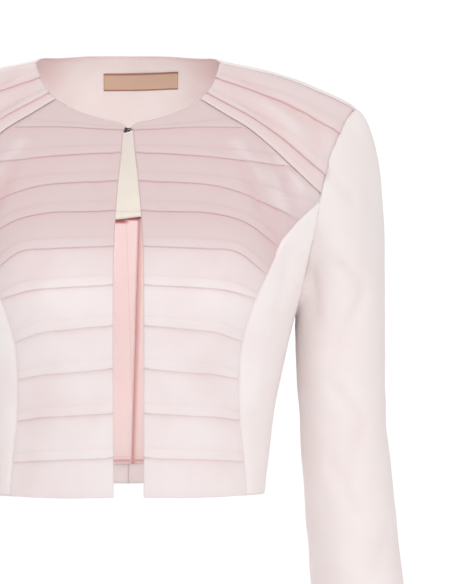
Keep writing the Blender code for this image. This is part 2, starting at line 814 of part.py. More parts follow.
def lining(name, hand):
    """One side's back lining; the wearer's right laps over the left in the pleat."""
    levels = [LINING_HEM] + [z for z in back_levels() if LINING_HEM + 5 < z < LINING_TOP - 5] + [LINING_TOP]
    points = []
    for z in levels:
        edge = pleat_across(z) if hand < 0 else pleat_across(z) - PLEAT_WIDTH
        line = []
        centre = back_level_point(0.0, z)
        starts = [edge * hand] if hand > 0 else [-edge, -edge + PLEAT_WIDTH * 0.5, -edge + PLEAT_WIDTH]
        for x in starts:
            line.append(figure(x, centre.z, 1))
        for share in BACK_SHARES[1:-1]:
            line.append(back_level_point(share, z))
        points.append(line)
    normals = grid_normals(points, -1, False)
    near, far = [], []
    lap = PLEAT_LIFT if hand < 0 else 0.0
    for j, line in enumerate(points):
        for cloth, face in ((0.0, near), (LINING_CLOTH, far)):
            side = []
            for i, p in enumerate(line):
                over = lap * (1 - eased((p.x - 8) / 24))
                side.append(p - normals[j][i] * (SHELL + LAYER_GAP + over + cloth))
            face.append(side)
    return wall(name, near, far, LINING_PINK, hand)


def label(facing):
    """The bare label, laid on the facing's inner face."""
    mesh = facing.data
    skin = BVHTree.FromPolygons([v.co[:] for v in mesh.vertices], [p.vertices[:] for p in mesh.polygons])
    near, far = [], []
    for j in range(LABEL_ROWS + 1):
        lines = ([], [])
        for i in range(LABEL_COLUMNS + 1):
            across = (i / LABEL_COLUMNS - 0.5) * LABEL_WIDTH
            x = LABEL_ACROSS + across
            z = LABEL_LEVEL + (j / LABEL_ROWS - 0.5) * LABEL_HEIGHT - across * LABEL_TILT
            start = Vector((x, -150.0, z)) * MILLIMETRE
            spot, normal, _, _ = skin.ray_cast(start, Vector((0, 1, 0)))
            lines[0].append((spot + normal * LABEL_GAP * MILLIMETRE) / MILLIMETRE)
            lines[1].append((spot + normal * (LABEL_GAP + LABEL_CLOTH) * MILLIMETRE) / MILLIMETRE)
        near.append(lines[0])
        far.append(lines[1])
    return wall("label", near, far, SAND)


def closure_point(s, t, d):
    """Inside the front edges: s across to the wearer's left, t up the panel, d in from its inner face."""
    top, foot = front_skin(6, CLOSURE_LEVEL + 4), front_skin(6, CLOSURE_LEVEL - 4)
    up = (top - foot).normalized()
    inwards = up.cross(Vector((1, 0, 0))).normalized()
    if inwards.y < 0:
        inwards = -inwards
    middle = (top + foot) / 2
    return Vector((s, middle.y, middle.z)) + up * t + inwards * (SHELL + d)


def wire(name, stations):
    """A round wire, bent through its stations."""
    path = []
    for k in range(len(stations) - 1):
        ring = [stations[max(0, min(len(stations) - 1, k + n))] for n in (-1, 0, 1, 2)]
        for share in (0.0, 0.5):
            path.append(curve_point([Vector(p) for p in ring], share))
    path.append(Vector(stations[-1]))
    path = [closure_point(*p) for p in path]
    lines = []
    side = Vector((0, 0, 1))
    for k, p in enumerate(path):
        way = (path[min(k + 1, len(path) - 1)] - path[max(k - 1, 0)]).normalized()
        side = (side - way * side.dot(way)).normalized()
        other = way.cross(side)
        turns = [2 * math.pi * n / WIRE_SIDES for n in range(WIRE_SIDES)]
        lines.append([p + (side * math.cos(a) + other * math.sin(a)) * WIRE / 2 for a in turns])
    bm = bmesh.new()
    rings = [[bm.verts.new(p * MILLIMETRE) for p in line] for line in lines]
    for a, b in zip(rings, rings[1:]):
        for n in range(WIRE_SIDES):
            m = (n + 1) % WIRE_SIDES
            bm.faces.new((a[n], a[m], b[m], b[n]))
    bm.faces.new(rings[0])
    bm.faces.new(rings[-1])
    return finish(name, bm, BLACK, 0.35, 0.6)


def curve_point(ring, t):
    a, b, c, d = ring
    return 0.5 * (b * 2 + (c - a) * t + (a * 2 - b * 5 + c * 4 - d) * t**2 + (b * 3 - a - c * 3 + d) * t**3)


remove_startup_objects()
for hand, side_name in ((1, "left"), (-1, "right")):
    front_panel(f"front_{side_name}", hand)
    yoke(f"yoke_{side_name}", hand)
    side_panel(f"side_{side_name}", hand)
    back_panel(f"back_{side_name}", hand)
    sleeve(f"sleeve_{side_name}", hand)
    lining(f"lining_{side_name}", hand)
label(neck_facing())
wire("hook", HOOK)
wire("eye", EYE)
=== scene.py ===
# %% [markdown]
# # A cropped bolero jacket, cell by cell
#
# The real jacket is cut from a soft pink crepe. Its fronts are laid in ten overlapping tucks
# each, its yokes slant from the neck to the armhole, and its sleeves, sides and back are plain.
# It stands open below one hook and eye, in the form that a wearer gives it.
#
# The solid model is loaded as a fixed frame. Everything below is made in the same place and to
# the same sizes, so a piece goes where the frame says.

# %% Load the frame
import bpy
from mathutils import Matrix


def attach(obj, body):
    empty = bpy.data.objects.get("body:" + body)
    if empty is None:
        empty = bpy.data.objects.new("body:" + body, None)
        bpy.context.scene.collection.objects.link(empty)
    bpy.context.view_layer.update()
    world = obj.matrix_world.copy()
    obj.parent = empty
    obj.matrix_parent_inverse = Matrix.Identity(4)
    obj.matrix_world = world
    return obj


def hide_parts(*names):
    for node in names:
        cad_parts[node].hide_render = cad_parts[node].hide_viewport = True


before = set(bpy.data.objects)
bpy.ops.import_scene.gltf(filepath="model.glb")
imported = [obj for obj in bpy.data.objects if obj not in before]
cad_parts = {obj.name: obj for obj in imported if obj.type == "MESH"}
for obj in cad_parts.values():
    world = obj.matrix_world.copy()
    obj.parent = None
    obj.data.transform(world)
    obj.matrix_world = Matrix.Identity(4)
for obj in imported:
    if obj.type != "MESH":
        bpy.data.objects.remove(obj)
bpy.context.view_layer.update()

import bisect
import math
from collections import namedtuple

import bmesh
import bpy
from mathutils import Vector, noise
from mathutils.bvhtree import BVHTree

MM = 0.001

# %% [markdown]
# ## The form that the cloth follows
#
# A garment's surface could be sculpted by eye, but then its seams would drift apart. Here one
# form serves every piece: a ring at each height, rolled over towards the crest of the shoulders.
# The tables hold millimetres, and a smooth curve runs through their rows.

# %% Reading a table
def between(a, b, share):
    return a + (b - a) * share


def clamped(share):
    return min(1.0, max(0.0, share))


def eased(share):
    share = clamped(share)
    return share * share * (3 - 2 * share)


def curve_weights(t):
    """How much the start, its slope, the end and the end's slope count, part of the way along."""
    return 2 * t**3 - 3 * t**2 + 1, t**3 - 2 * t**2 + t, 3 * t**2 - 2 * t**3, t**3 - t**2


def table_value(keys, values, place):
    """A smooth curve through pairs whose keys rise; level beyond the ends."""
    last = len(keys) - 1
    i = 0
    while i < last - 1 and place > keys[i + 1]:
        i += 1
    low, high = max(0, i - 1), min(last, i + 2)
    slope_a = (values[i + 1] - values[low]) / (keys[i + 1] - keys[low])
    slope_b = (values[high] - values[i]) / (keys[high] - keys[i])
    step = keys[i + 1] - keys[i]
    a, leaving, b, arriving = curve_weights(clamped((place - keys[i]) / step))
    start = a * values[i] + leaving * step * slope_a
    return start + (b * values[i + 1] + arriving * step * slope_b)


def columns(rows):
    """Turns a table's rows into columns, the first of them the keys."""
    return [list(column) for column in zip(*rows)]


# %% The rings, the shoulders and the seams
SQUARENESS = 2.4
SHOULDER_ROLL = 90.0
SHOULDER_SEAM_TURN = math.radians(15)
SEAM_GAP_TURN = 0.004
BUST = {
    "fullness": 0.12, "across": 82.0, "height": -205.0, "spread_across": 46.0, "spread_up": 58.0,
}

# height, half width, depth in front, depth behind
RINGS = columns([
    (-390, 120.8, 94, 84), (-360, 123.1, 98, 85), (-310, 129.0, 107, 90), (-280, 134.9, 113, 94),
    (-228, 147.0, 120, 103), (-210, 152.5, 120, 107), (-194, 157.5, 118, 109),
    (-165, 169.5, 114, 111), (-128, 193.0, 103, 111), (-104, 200.0, 95, 108), (-77, 204.0, 84, 105),
    (-44, 206.0, 69, 102), (0, 208.0, 52, 104), (30, 209.0, 45, 106),
])
# distance from the centre, height
CREST = columns([
    (-30, 12.4), (0, 15.6), (30, 12.4), (50, 8.0), (65, 3.2), (80.5, -2.0), (95, -5.4), (110, -8.6),
    (127.5, -12.6), (148, -19.0), (165.5, -26.0), (183, -33.5), (200.5, -43.0), (212, -53.0),
])
# height, distance from the centre
ARMHOLE = columns([
    (-228, 147.0), (-210, 150.5), (-194, 153.5), (-179, 156.5), (-160, 159.8), (-140, 162.7),
    (-121, 166.0), (-104, 170.0), (-88, 174.9), (-73.7, 181.7), (-57, 190.2), (-46, 198.5),
    (-43, 200.5),
])
PRINCESS_SEAM = columns([
    (-382, 103.2), (-351, 100.1), (-315, 96.0), (-278.5, 94.1), (-250, 95.6), (-235.7, 98.9),
    (-207.5, 109.4), (-192.2, 116.8), (-168, 129.0), (-157, 135.7), (-145.8, 144.6),
    (-135.8, 155.6), (-128, 164.6),
])
YOKE_SEAM = columns([
    (-121, 166.0), (-110.3, 153.3), (-98.3, 140.5), (-82, 123.2), (-65, 102.5), (-51.8, 81.4),
    (-39.6, 61.9),
])
FRONT_EDGE = columns([
    (-384, 12.7), (-186, 12.5), (-141, 10.6), (-107, 7.9), (-88, 5.8), (-61.4, 3.5),
])
NECKLINE = columns([(-39.6, 61.9), (-32.5, 69.0), (-21.8, 75.1), (-12, 78.6), (-6, 80.3)])
# distance from the centre, degrees behind the shoulder's crest
BACK_NECK = columns([
    (-36, 22.5), (0, 28.1), (36, 22.5), (58, 16.0), (70, 8.0), (76.5, -2.0), (80.3, -14.7),
])
NECK_CORNER = 80.3
SHOULDER_CORNER = 200.5
UNDERARM = -228.0
HEM = -380.0
HEM_DROP = 5.0
DROP_FROM, DROP_OVER = -300, 80


def armhole_across(z):
    return table_value(*ARMHOLE, z)


def crest(x):
    return table_value(*CREST, abs(x))


def ring_width(z):
    return table_value(RINGS[0], RINGS[1], z)


def bust(x, z):
    a = (abs(x) - BUST["across"]) / BUST["spread_across"]
    b = (z - BUST["height"]) / BUST["spread_up"]
    return BUST["fullness"] * math.exp(-a * a - b * b)


def figure(x, z, side):
    """The cloth's outer face at a place seen from the front; side is -1 in front and 1 behind."""
    deep = table_value(RINGS[0], RINGS[2 if side < 0 else 3], z)
    across = max(0.0, 1 - (abs(x) / ring_width(z)) ** SQUARENESS) ** (1 / SQUARENESS)
    if side < 0:
        deep *= 1 + bust(x, z)
    t = clamped(1 - (crest(x) - z) / SHOULDER_ROLL)
    return Vector((x, side * deep * across * math.sqrt(1 - t * t), z))


def over_shoulder(x, turn):
    """The outer face at a turn about the shoulder's crest: below 0 in front, above 0 behind."""
    angle = abs(turn)
    drop = 1 - math.cos(angle) if angle < math.pi / 2 else 1 + angle - math.pi / 2
    return figure(x, crest(x) - SHOULDER_ROLL * drop, -1 if turn < 0 else 1)


def shoulder_turn(x, z):
    drop = max(0.0, crest(x) - z) / SHOULDER_ROLL
    return math.acos(1 - drop) if drop < 1 else drop - 1 + math.pi / 2


def ring_turn(x, z):
    """How far round its ring a place lies: 0 at the side and 1 at the centre."""
    return math.acos(min(1.0, abs(x) / ring_width(z)) ** (SQUARENESS / 2)) / (math.pi / 2)


def ring_across(turn, z):
    return ring_width(z) * max(0.0, math.cos(turn * math.pi / 2)) ** (2 / SQUARENESS)


def hem_drop(z, back):
    """How much lower the hem hangs at the sides and the back than in front."""
    return HEM_DROP * back * eased((DROP_FROM - z) / DROP_OVER)


print("bust depth in front:", round(-figure(BUST["across"], BUST["height"], -1).y, 1), "mm")

# %% [markdown]
# ## From a form to a sheet of cloth
#
# A plain grid is made, and each of its points is moved to its place on the form. The grid keeps
# an even UV map in metres of cloth, so the weave later runs along the cut and not through space.
# A second layer comes from a Solidify modifier: cloth has a thickness that shows at each edge.
#
# Three numbers are worked out for every point: how far it stands off the form, how far it slips
# up along the cloth, and how much painted shade its colour gets there, in folds, along seams and
# under edges, below 0 a painted highlight. The last is kept as an attribute, which the cloth's
# colour reads.

# %% The sheet maker
Cloth = namedtuple("Cloth", "across up thickness width length")


def add_object(name, data):
    made = bpy.data.objects.new(name, data)
    bpy.context.scene.collection.objects.link(made)
    return made


def grid_frame(points, i, j, facing, closed):
    """The outward direction of the form at a point of the grid, and the one along the cloth."""
    rows, last = len(points), len(points[0]) - 1
    if closed:
        west, east = points[j][(i - 1) % last], points[j][(i + 1) % last]
    else:
        west, east = points[j][max(0, i - 1)], points[j][min(last, i + 1)]
    south, north = points[max(0, j - 1)][i], points[min(rows - 1, j + 1)][i]
    along = (north - south).normalized()
    return (east - west).cross(along).normalized() * facing, along


def sheet_mesh(name, place, lift, size, facing=1, hand=1, closed=False):
    """A sheet of cloth.

    place(u, v) is a point of the form; lift(u, v, point) gives (out, up, painted shade)."""
    def on_hand(p):
        return Vector((p.x * hand, p.y, p.z))

    cells_u, cells_v = size.across, size.up
    base = [
        [place(i / cells_u, j / cells_v) for i in range(cells_u + 1)]
        for j in range(cells_v + 1)
    ]
    bm = bmesh.new()
    bmesh.ops.create_grid(bm, x_segments=cells_u, y_segments=cells_v, size=0.5, calc_uvs=False)
    uv = bm.loops.layers.uv.new("UVMap")
    for face in bm.faces:
        for loop in face.loops:
            across, up = loop.vert.co.x + 0.5, loop.vert.co.y + 0.5
            loop[uv].uv = (across * size.width, up * size.length)
    # per point, the painted shade that the cloth's colour reads; below 0 it is a painted highlight
    deep = bm.verts.layers.float.new("painted_shading")
    for vertex in bm.verts:
        u, v = vertex.co.x + 0.5, vertex.co.y + 0.5
        i, j = round(u * cells_u), round(v * cells_v)
        point = base[j][i]
        out, up, depth = lift(u, v, point)
        normal, along = grid_frame(base, i, j, facing, closed)
        moved = point + normal * out + along * up
        vertex[deep] = depth
        vertex.co = on_hand(moved) * MM
    if closed:
        bmesh.ops.remove_doubles(bm, verts=bm.verts[:], dist=1e-6)
    bm.normal_update()
    i, j = cells_u // 2, cells_v // 2
    outward = on_hand(grid_frame(base, i, j, facing, closed)[0])
    spot = on_hand(base[j][i]) * MM
    middle = min(bm.faces, key=lambda f: (f.calc_center_median() - spot).length)
    if middle.normal.dot(outward) < 0:
        bmesh.ops.reverse_faces(bm, faces=bm.faces[:])
    mesh = bpy.data.meshes.new(name)
    bm.to_mesh(mesh)
    bm.free()
    piece = add_object(name, mesh)
    mesh.shade_smooth()
    wall = piece.modifiers.new("cloth thickness", "SOLIDIFY")
    wall.thickness = size.thickness * MM
    wall.offset = -1
    wall.use_even_offset = False
    return piece


def crumple(p, *waves):
    """Slight unevenness of soft cloth: waves of a size and a height, the same on every run."""
    place = Vector((p.x, p.y * 1.3, p.z))
    return sum(noise.noise(place / size) * height for size, height in waves)


def edge_roll(distance, reach=2.4, depth=0.9):
    """How far a seam's edge dips, by the distance from it in millimetres."""
    return -depth * (1 - clamped(distance / reach)) ** 2


# a fold fades in and out over this share of its length, on either side of its two ends
FOLD_END = 0.2


def press(folds, x, z):
    """How deep soft folds, as lines with a spread and a depth, press the cloth in at a place."""
    total = 0.0
    for x0, z0, x1, z1, spread, depth in folds:
        dx, dz = x1 - x0, z1 - z0
        t = ((x - x0) * dx + (z - z0) * dz) / (dx * dx + dz * dz)
        away = math.hypot(x - x0 - t * dx, z - z0 - t * dz) / spread
        if away < 3:
            ends = [eased((share + FOLD_END) / (2 * FOLD_END)) for share in (t, 1 - t)]
            total += depth * ends[0] * ends[1] * math.exp(-away * away)
    return total


def painted_fold_shade(pressed):
    """How much painted shade deepens a trough's colour, or painted highlight pales a ridge's."""
    return pressed * (0.14 if pressed > 0 else 0.2)


print("depth in the middle of a fold 2 mm deep:", press([(0, 0, 10, 0, 5, 2)], 5, 0), "mm")

# %% [markdown]
# ## Front panels
#
# On the real jacket each front is a strip of crepe folded into ten horizontal tucks that overlap
# downwards like shingles, so every fold has a rounded nose, a shadow under it, and a faint ridge
# above it where the tuck's hidden edge presses through. A bump texture can't cast that shadow. So
# the grid's own rows are gathered around each fold, and a profile lifts them into a real
# overhang. The profile also adds painted shade under each nose and in the faint ridge's line, and
# a painted highlight on the nose.

# %% Rows of the tucks
# height of each fold at quarters of the panel's width, from the hem up
FRONT_FOLDS = [
    (HEM, -380.5, -381, -381.2, -381.2), (-344.2, -345.3, -346.4, -348, -351),
    (-306.2, -307.4, -308.8, -310.6, -315), (-267.9, -270.0, -271.9, -274, -278.5),
    (-231.9, -233.2, -235.3, -238, -246.7), (-198.0, -199.0, -200.3, -202.8, -210.5),
    (-165.7, -166.5, -167.7, -170.5, -190.4), (-135.9, -136.7, -138.0, -146.0, -167.6),
    (-110.5, -112.0, -115.5, -127.0, -144.6), (-86.5, -88.0, -90.5, -94.5, -98.3),
    (-67.0, -65.8, -64.8, -64.6, -65.0), (-61.4, -58.3, -54.0, -48.4, -39.6),
]
QUARTERS = [0, 0.25, 0.5, 0.75, 1]
FRONT_WIDTH = 90.0
TUCKED_CRUMPLE = (26, 0.5), (9, 0.16)
# where folds lie closer than this, the profile is squeezed
FULL_SPACING = 24
# millimetres above the fold, how far the cloth stands out and slips up there, and its painted
# shade, which below 0 is a painted highlight
TUCK_PROFILE = [
    (-5.0, 0.35, 0.0, 0.08), (-2.5, 0.3, 0.0, 0.25), (-0.6, 0.25, 0.3, 0.7), (0.1, 0.4, 0.7, 0.85),
    (0.3, 0.65, -0.45, 0.6), (0.45, 0.95, -0.85, 0.25), (0.6, 1.25, -0.7, 0.05),
    (1.1, 1.42, -0.3, -0.12), (2.4, 1.5, 0.0, -0.05), (4.6, 1.42, 0.0, 0.0), (6.4, 1.5, 0.0, 0.0),
    (7.3, 1.3, 0.0, 0.12), (8.1, 0.85, 0.0, 0.25), (9.6, 0.75, 0.0, 0.08), (14.0, 0.9, 0.0, 0.0),
]
# the broad folds that the solid has too: from one end to the other, spread and depth
SOFT_FOLDS = [
    (88, -76, 112, -110, 7, -1.4), (96, -88, 130, -164, 8, 2.4), (132, -106, 144, -140, 7, 1.6),
    (98, -30, 130, -66, 8, 1.6), (60, -262, 88, -330, 14, 1.2), (176, -66, 166, -106, 6, -1.0),
]
# the small ones, which the solid doesn't have
SMALL_FOLDS = [
    (97, -92, 114, -137, 4.5, 1.5), (94, -80, 122, -133, 6, -1.6), (113, -70, 137, -116, 4.5, 1.5),
    (131, -86, 149, -120, 5.5, -1.5), (112, -118, 140, -158, 3.6, 1.3),
    (128, -112, 136, -158, 3.4, -1.2), (14, -88, 30, -122, 5, 0.9), (20, -118, 34, -150, 6, 0.7),
    (70, -170, 84, -205, 9, 0.8), (18, -270, 34, -320, 9, 0.7), (84, -345, 92, -376, 7, 0.9),
]


def front_height(share, row):
    low = min(int(row), len(FRONT_FOLDS) - 2)
    heights = [table_value(QUARTERS, FRONT_FOLDS[k], share) for k in (low, low + 1)]
    return between(heights[0], heights[1], row - low)


def front_outline(z):
    if z <= PRINCESS_SEAM[0][-1]:
        return table_value(*PRINCESS_SEAM, z)
    return armhole_across(z) if z < YOKE_SEAM[0][0] else table_value(*YOKE_SEAM, z)


def front_rows():
    """(row, out, up, painted shade) for every row of the panel's grid, from the hem up."""
    # the hem turns in, with painted shade in its fold
    rows = [(0.0, -0.9, 0.9, 0.25), (0.02, -0.2, 0.2, 0.05), (0.05, 0.1, 0.0, 0.0)]
    last = len(FRONT_FOLDS) - 1
    for k in range(1, last + 1):
        below = FRONT_FOLDS[k][2] - FRONT_FOLDS[k - 1][2]
        above = FRONT_FOLDS[k + 1][2] - FRONT_FOLDS[k][2] if k < last else 0
        start = rows[-1]
        foot = k + TUCK_PROFILE[0][0] / below if k < last else float(k)
        for share in (0.25, 0.5, 0.75) if k < last else (0.35, 0.7, 0.92, 1.0):
            bulge = 0.2 * math.sin(math.pi * share)
            out = between(start[1], 0.35, share) + bulge
            rows.append((between(start[0], foot, share), out, 0.0, between(start[3], 0.05, share)))
        if k < last:
            scale = min(1.0, above / FULL_SPACING)
            for height, out, up, shade in TUCK_PROFILE:
                gap = above if height > 0 else below
                stretch = scale if height > 0 else min(1.0, below / FULL_SPACING)
                rows.append((k + height * stretch / gap, out * max(0.75, scale), up, shade))
    # the neckline rolls in, with a little painted shade
    rows[-1] = (rows[-1][0], -0.6, 0.0, 0.1)
    return rows


FRONT_ROWS = front_rows()
FRONT_CELLS = 56
# the corner at the neck is rounded: how far that reaches, and how far in and down it goes
CORNER_REACH, CORNER_IN, CORNER_DOWN = 7, 1.5, 2.6


def front_share(u):
    """Columns gather towards both edges; the last one is the turned-in allowance of the seam."""
    u = min(1.0, u * FRONT_CELLS / (FRONT_CELLS - 1))
    return between(u, 0.5 - 0.5 * math.cos(math.pi * u), 0.45)


def by_yoke(share, z):
    """1 where the panel runs under the yoke's edge, fading to 0 inside it."""
    return eased((share - 0.9) / 0.1) * eased((z + 124) / 6)


def front_place(u, v):
    row = FRONT_ROWS[round(v * (len(FRONT_ROWS) - 1))][0]
    share = front_share(u)
    left = table_value(*FRONT_EDGE, front_height(0.0, row))
    right = front_outline(front_height(1.0, row)) - 0.2
    corner = eased((row - 9.8) / 1.2) * max(0.0, 1 - share * FRONT_WIDTH / CORNER_REACH) ** 2
    x = between(left, right, share) - CORNER_IN * corner
    z = front_height(share, row) - CORNER_DOWN * corner
    if u == 1:
        under = by_yoke(1.0, z)
        x += between(0.3, 1.9, max(under, eased((z + 146) / 10)))
        z += 1.6 * under
    return figure(x, z, -1)


def front_lift(u, v, p):
    row, out, up, shade = FRONT_ROWS[round(v * (len(FRONT_ROWS) - 1))]
    share = front_share(u)
    from_edge = share * FRONT_WIDTH
    seam = by_yoke(share, p.z)
    fade = 1 - 0.55 * eased((share - 0.93) / 0.07) - 0.45 * seam
    fade *= between(0.5, 1.0, eased(from_edge / 9))
    hang = 1 - eased((share - 0.86) / 0.14)
    wander = 1 + 0.18 * noise.noise(Vector((p.x / 17, row * 0.7, 3.1)))
    lift = out * fade * wander + edge_roll(from_edge, 1.2, 0.5)
    lift += edge_roll((1 - share) * FRONT_WIDTH, 2.4, 0.9 - 0.78 * seam)
    pressed = press(SOFT_FOLDS, p.x, p.z) + press(SMALL_FOLDS, p.x, p.z)
    pressed *= 1 - seam
    lift += crumple(p, *TUCKED_CRUMPLE) - pressed - (0.8 if u == 1 else 0.0)
    # the painted shade under the tucks is a little uneven along each row
    shade *= 0.75 + 0.4 * noise.noise(Vector((p.x / 11, row, 7.7)))
    # painted light: the cloth is painted paler by the armhole
    shade -= 0.3 * eased((p.x - 104) / 30) * eased((p.z + 150) / 24)
    # painted shade in the soft folds' troughs, painted highlight on their ridges
    return lift, up * hang, shade + painted_fold_shade(pressed)


FRONT_SIZE = Cloth(FRONT_CELLS, len(FRONT_ROWS) - 1, 0.7, 0.118, 0.335)
# the fold about which the panel turns to its rosier shade, as a place along the cloth in metres
ROSE_ROW = sum(row[0] < 6 for row in FRONT_ROWS) / (len(FRONT_ROWS) - 1) * FRONT_SIZE.length
print("front rows:", len(FRONT_ROWS))

# %% Both front panels
SIDES = (1, "left"), (-1, "right")
pieces = {}


def both_sides(node, title, *form, **settings):
    """The wearer's left piece and, as its mirror, the right one."""
    for hand, word in SIDES:
        pieces[f"{node}_{word}"] = sheet_mesh(f"{title}_{word}", *form, hand=hand, **settings)
    print(node, "faces:", len(pieces[f"{node}_left"].data.polygons))


both_sides("front", "tucked_front", front_place, front_lift, FRONT_SIZE)

# %% [markdown]
# ## Yokes
#
# The yoke lies over the front's upper edge, and two more tucks slant across it from the neckline
# to the armhole. Its four edges are known curves, so its inside is filled by blending between
# them.

# %% Yokes
# each row from the lower edge up: height at the neckline and the armhole, lift, slip up and
# painted shade, which below 0 is a painted highlight
YOKE_ROWS = [
    (-39.6, -121.0, 0.45, 0, 0.3), (-39.5, -120.9, 0.8, -0.4, 0.2),
    (-39.4, -120.7, 1.05, -0.6, 0.0), (-39.1, -120.2, 1.25, -0.2, -0.2),
    (-38.6, -118.5, 1.3, 0, -0.1), (-37.6, -115, 1.1, 0, 0.1), (-36.4, -111, 0.6, 0, 0),
    (-34.9, -107, 0.2, 0, 0.4), (-34.0, -105.4, 0.1, 0.4, 1.0), (-33.7, -104.9, 0.8, -0.7, 0.7),
    (-33.4, -104.3, 1.7, -0.9, 0.2), (-33.0, -103.2, 2.1, -0.2, 0), (-32.2, -101, 2.1, 0, 0),
    (-31.0, -97.6, 1.8, 0, 0.1), (-30.2, -95.6, 1.1, 0, 0.2), (-28.5, -91, 0.9, 0, 0),
    (-25.5, -84, 0.8, 0, 0), (-22.6, -76, 0.4, 0, 0.1), (-20.9, -70, 0.1, 0, 0.5),
    (-20.3, -68.8, 0.1, 0.4, 1.0), (-20.0, -68.3, 0.8, -0.7, 0.7), (-19.7, -67.7, 1.7, -0.9, 0.2),
    (-19.3, -66.8, 2.1, -0.2, 0), (-18.6, -64.8, 2.1, 0, 0), (-17.2, -61.4, 1.8, 0, 0.1),
    (-16.4, -59.6, 1.1, 0, 0.2), (-14.4, -56.4, 0.9, 0, 0), (-11.6, -53, 0.8, 0, 0),
    (-9.0, -50, 0.7, 0, 0), (-7.0, -47.4, 0.4, 0, 0.1), (-6.0, -46, -0.3, 0, 0.6),
]
# the yoke's own drags, from the neck towards the armhole
YOKE_FOLDS = [
    (92, -14, 148, -56, 4.5, 1.5), (116, -42, 160, -88, 4.5, -1.3), (142, -46, 166, -76, 3.6, 1.3),
    (84, -30, 118, -58, 4, 1.2), (160, -56, 172, -92, 3.6, 1.2), (100, -32, 150, -62, 6, -1.8),
]
YOKE_CELLS = 64
YOKE_WIDTH = 110


def yoke_ends(row):
    if row == len(YOKE_ROWS) - 1:
        turn = -SHOULDER_SEAM_TURN - SEAM_GAP_TURN
        return NECK_CORNER, turn, SHOULDER_CORNER, turn
    neck_z, arm_z = YOKE_ROWS[row][:2]
    neck_x, arm_x = table_value(*NECKLINE, neck_z), armhole_across(arm_z)
    return neck_x, -shoulder_turn(neck_x, neck_z), arm_x, -shoulder_turn(arm_x, arm_z)


YOKE_ENDS = [yoke_ends(row) for row in range(len(YOKE_ROWS))]


def yoke_place(u, v):
    row = round(v * (len(YOKE_ROWS) - 1))
    neck_x, neck_turn, arm_x, arm_turn = YOKE_ENDS[row]
    first = YOKE_ENDS[0]
    up = (neck_turn - first[1]) / (YOKE_ENDS[-1][1] - first[1])
    low_x = between(first[0], first[2], u)
    low_z = table_value(YOKE_SEAM[1][::-1], YOKE_SEAM[0][::-1], low_x)
    bend = -shoulder_turn(low_x, low_z) - between(first[1], first[3], u)
    turn = between(neck_turn, arm_turn, u) + bend * (1 - up) ** 2
    return over_shoulder(between(neck_x, arm_x, u), turn)


def yoke_lift(u, v, p):
    _, _, out, up, shade = YOKE_ROWS[round(v * (len(YOKE_ROWS) - 1))]
    fade = 1 - 0.5 * eased((u - 0.94) / 0.06)
    lift = out * fade + edge_roll(u * YOKE_WIDTH, 1.8, 0.8) + edge_roll((1 - u) * YOKE_WIDTH)
    pressed = press(SOFT_FOLDS, p.x, p.z) + press(YOKE_FOLDS, p.x, p.z)
    pressed *= eased(v / 0.12)
    lift += crumple(p, *TUCKED_CRUMPLE) - pressed
    # painted shade under the tucks and in the drags, painted highlight on the ridges
    return lift, up, shade + painted_fold_shade(pressed)


YOKE_SIZE = Cloth(YOKE_CELLS, len(YOKE_ROWS) - 1, 0.7, 0.125, 0.09)
both_sides("yoke", "tucked_yoke", yoke_place, yoke_lift, YOKE_SIZE)

# %% [markdown]
# ## Side panels
#
# The side front is one plain piece between the princess seam and the side seam. It hangs nearly
# smooth, with a few shallow drags that run down from the armhole.

# %% Side panels
SIDE_FOOT, SIDE_TOP = -381.2, -130.5
SIDE_WIDTH, SIDE_LENGTH = 60.0, 250
# the allowance turned in along the princess seam: how far across and how far in
ALLOWANCE_ACROSS, ALLOWANCE_IN = 2.4, 0.7
SIDE_FOLDS = [
    (138, -170, 128, -232, 6, 1.2), (146, -206, 126, -268, 6, 1.0), (120, -262, 112, -330, 7, 0.8),
    (112, -340, 118, -378, 6, 0.7),
]


def side_place(u, v):
    z = between(SIDE_FOOT, SIDE_TOP, v)
    near_x = table_value(*PRINCESS_SEAM, z) + 0.1
    far = ring_turn(armhole_across(z), z) if z > UNDERARM else 0.0
    dropped = z - hem_drop(z, u * 0.6)
    if v == 1:
        dropped += 2.6
    if u == 0:
        return figure(near_x - ALLOWANCE_ACROSS, z, -1)
    return figure(ring_across(between(ring_turn(near_x, z), far, u), dropped), dropped, -1)


def side_lift(u, v, p):
    pressed = press(SIDE_FOLDS, p.x, p.z)
    lift = edge_roll(u * SIDE_WIDTH) + edge_roll((1 - u) * SIDE_WIDTH)
    lift += edge_roll(v * SIDE_LENGTH, 1.5, 0.8) + crumple(p, (30, 0.6), (10, 0.12)) - pressed
    if u == 0:
        lift -= ALLOWANCE_IN
    # painted shade along the princess seam's turned-in edge and in the drags' troughs
    shade = 0.4 * (1 - eased(u * SIDE_SIZE.across)) + 0.5 * painted_fold_shade(pressed)
    return lift, 0.0, shade


SIDE_SIZE = Cloth(26, 70, 0.7, 0.07, 0.25)
both_sides("side", "side_panel", side_place, side_lift, SIDE_SIZE)

# %% [markdown]
# ## The back
#
# Two plain panels meet in a centre back seam and reach over the crest of the shoulder to its
# seam. The photograph doesn't show the outside, so it is finished as such a jacket usually is:
# smooth over the blades, drawn in at the waist, with shallow drags towards the armholes.

# %% The back's form
BLADES = -141.0
LOWER_SHARE = 0.58
BACK_WIDTH, BACK_LENGTH = 170.0, 400
BACK_SEAM_TURN = -SHOULDER_SEAM_TURN + SEAM_GAP_TURN
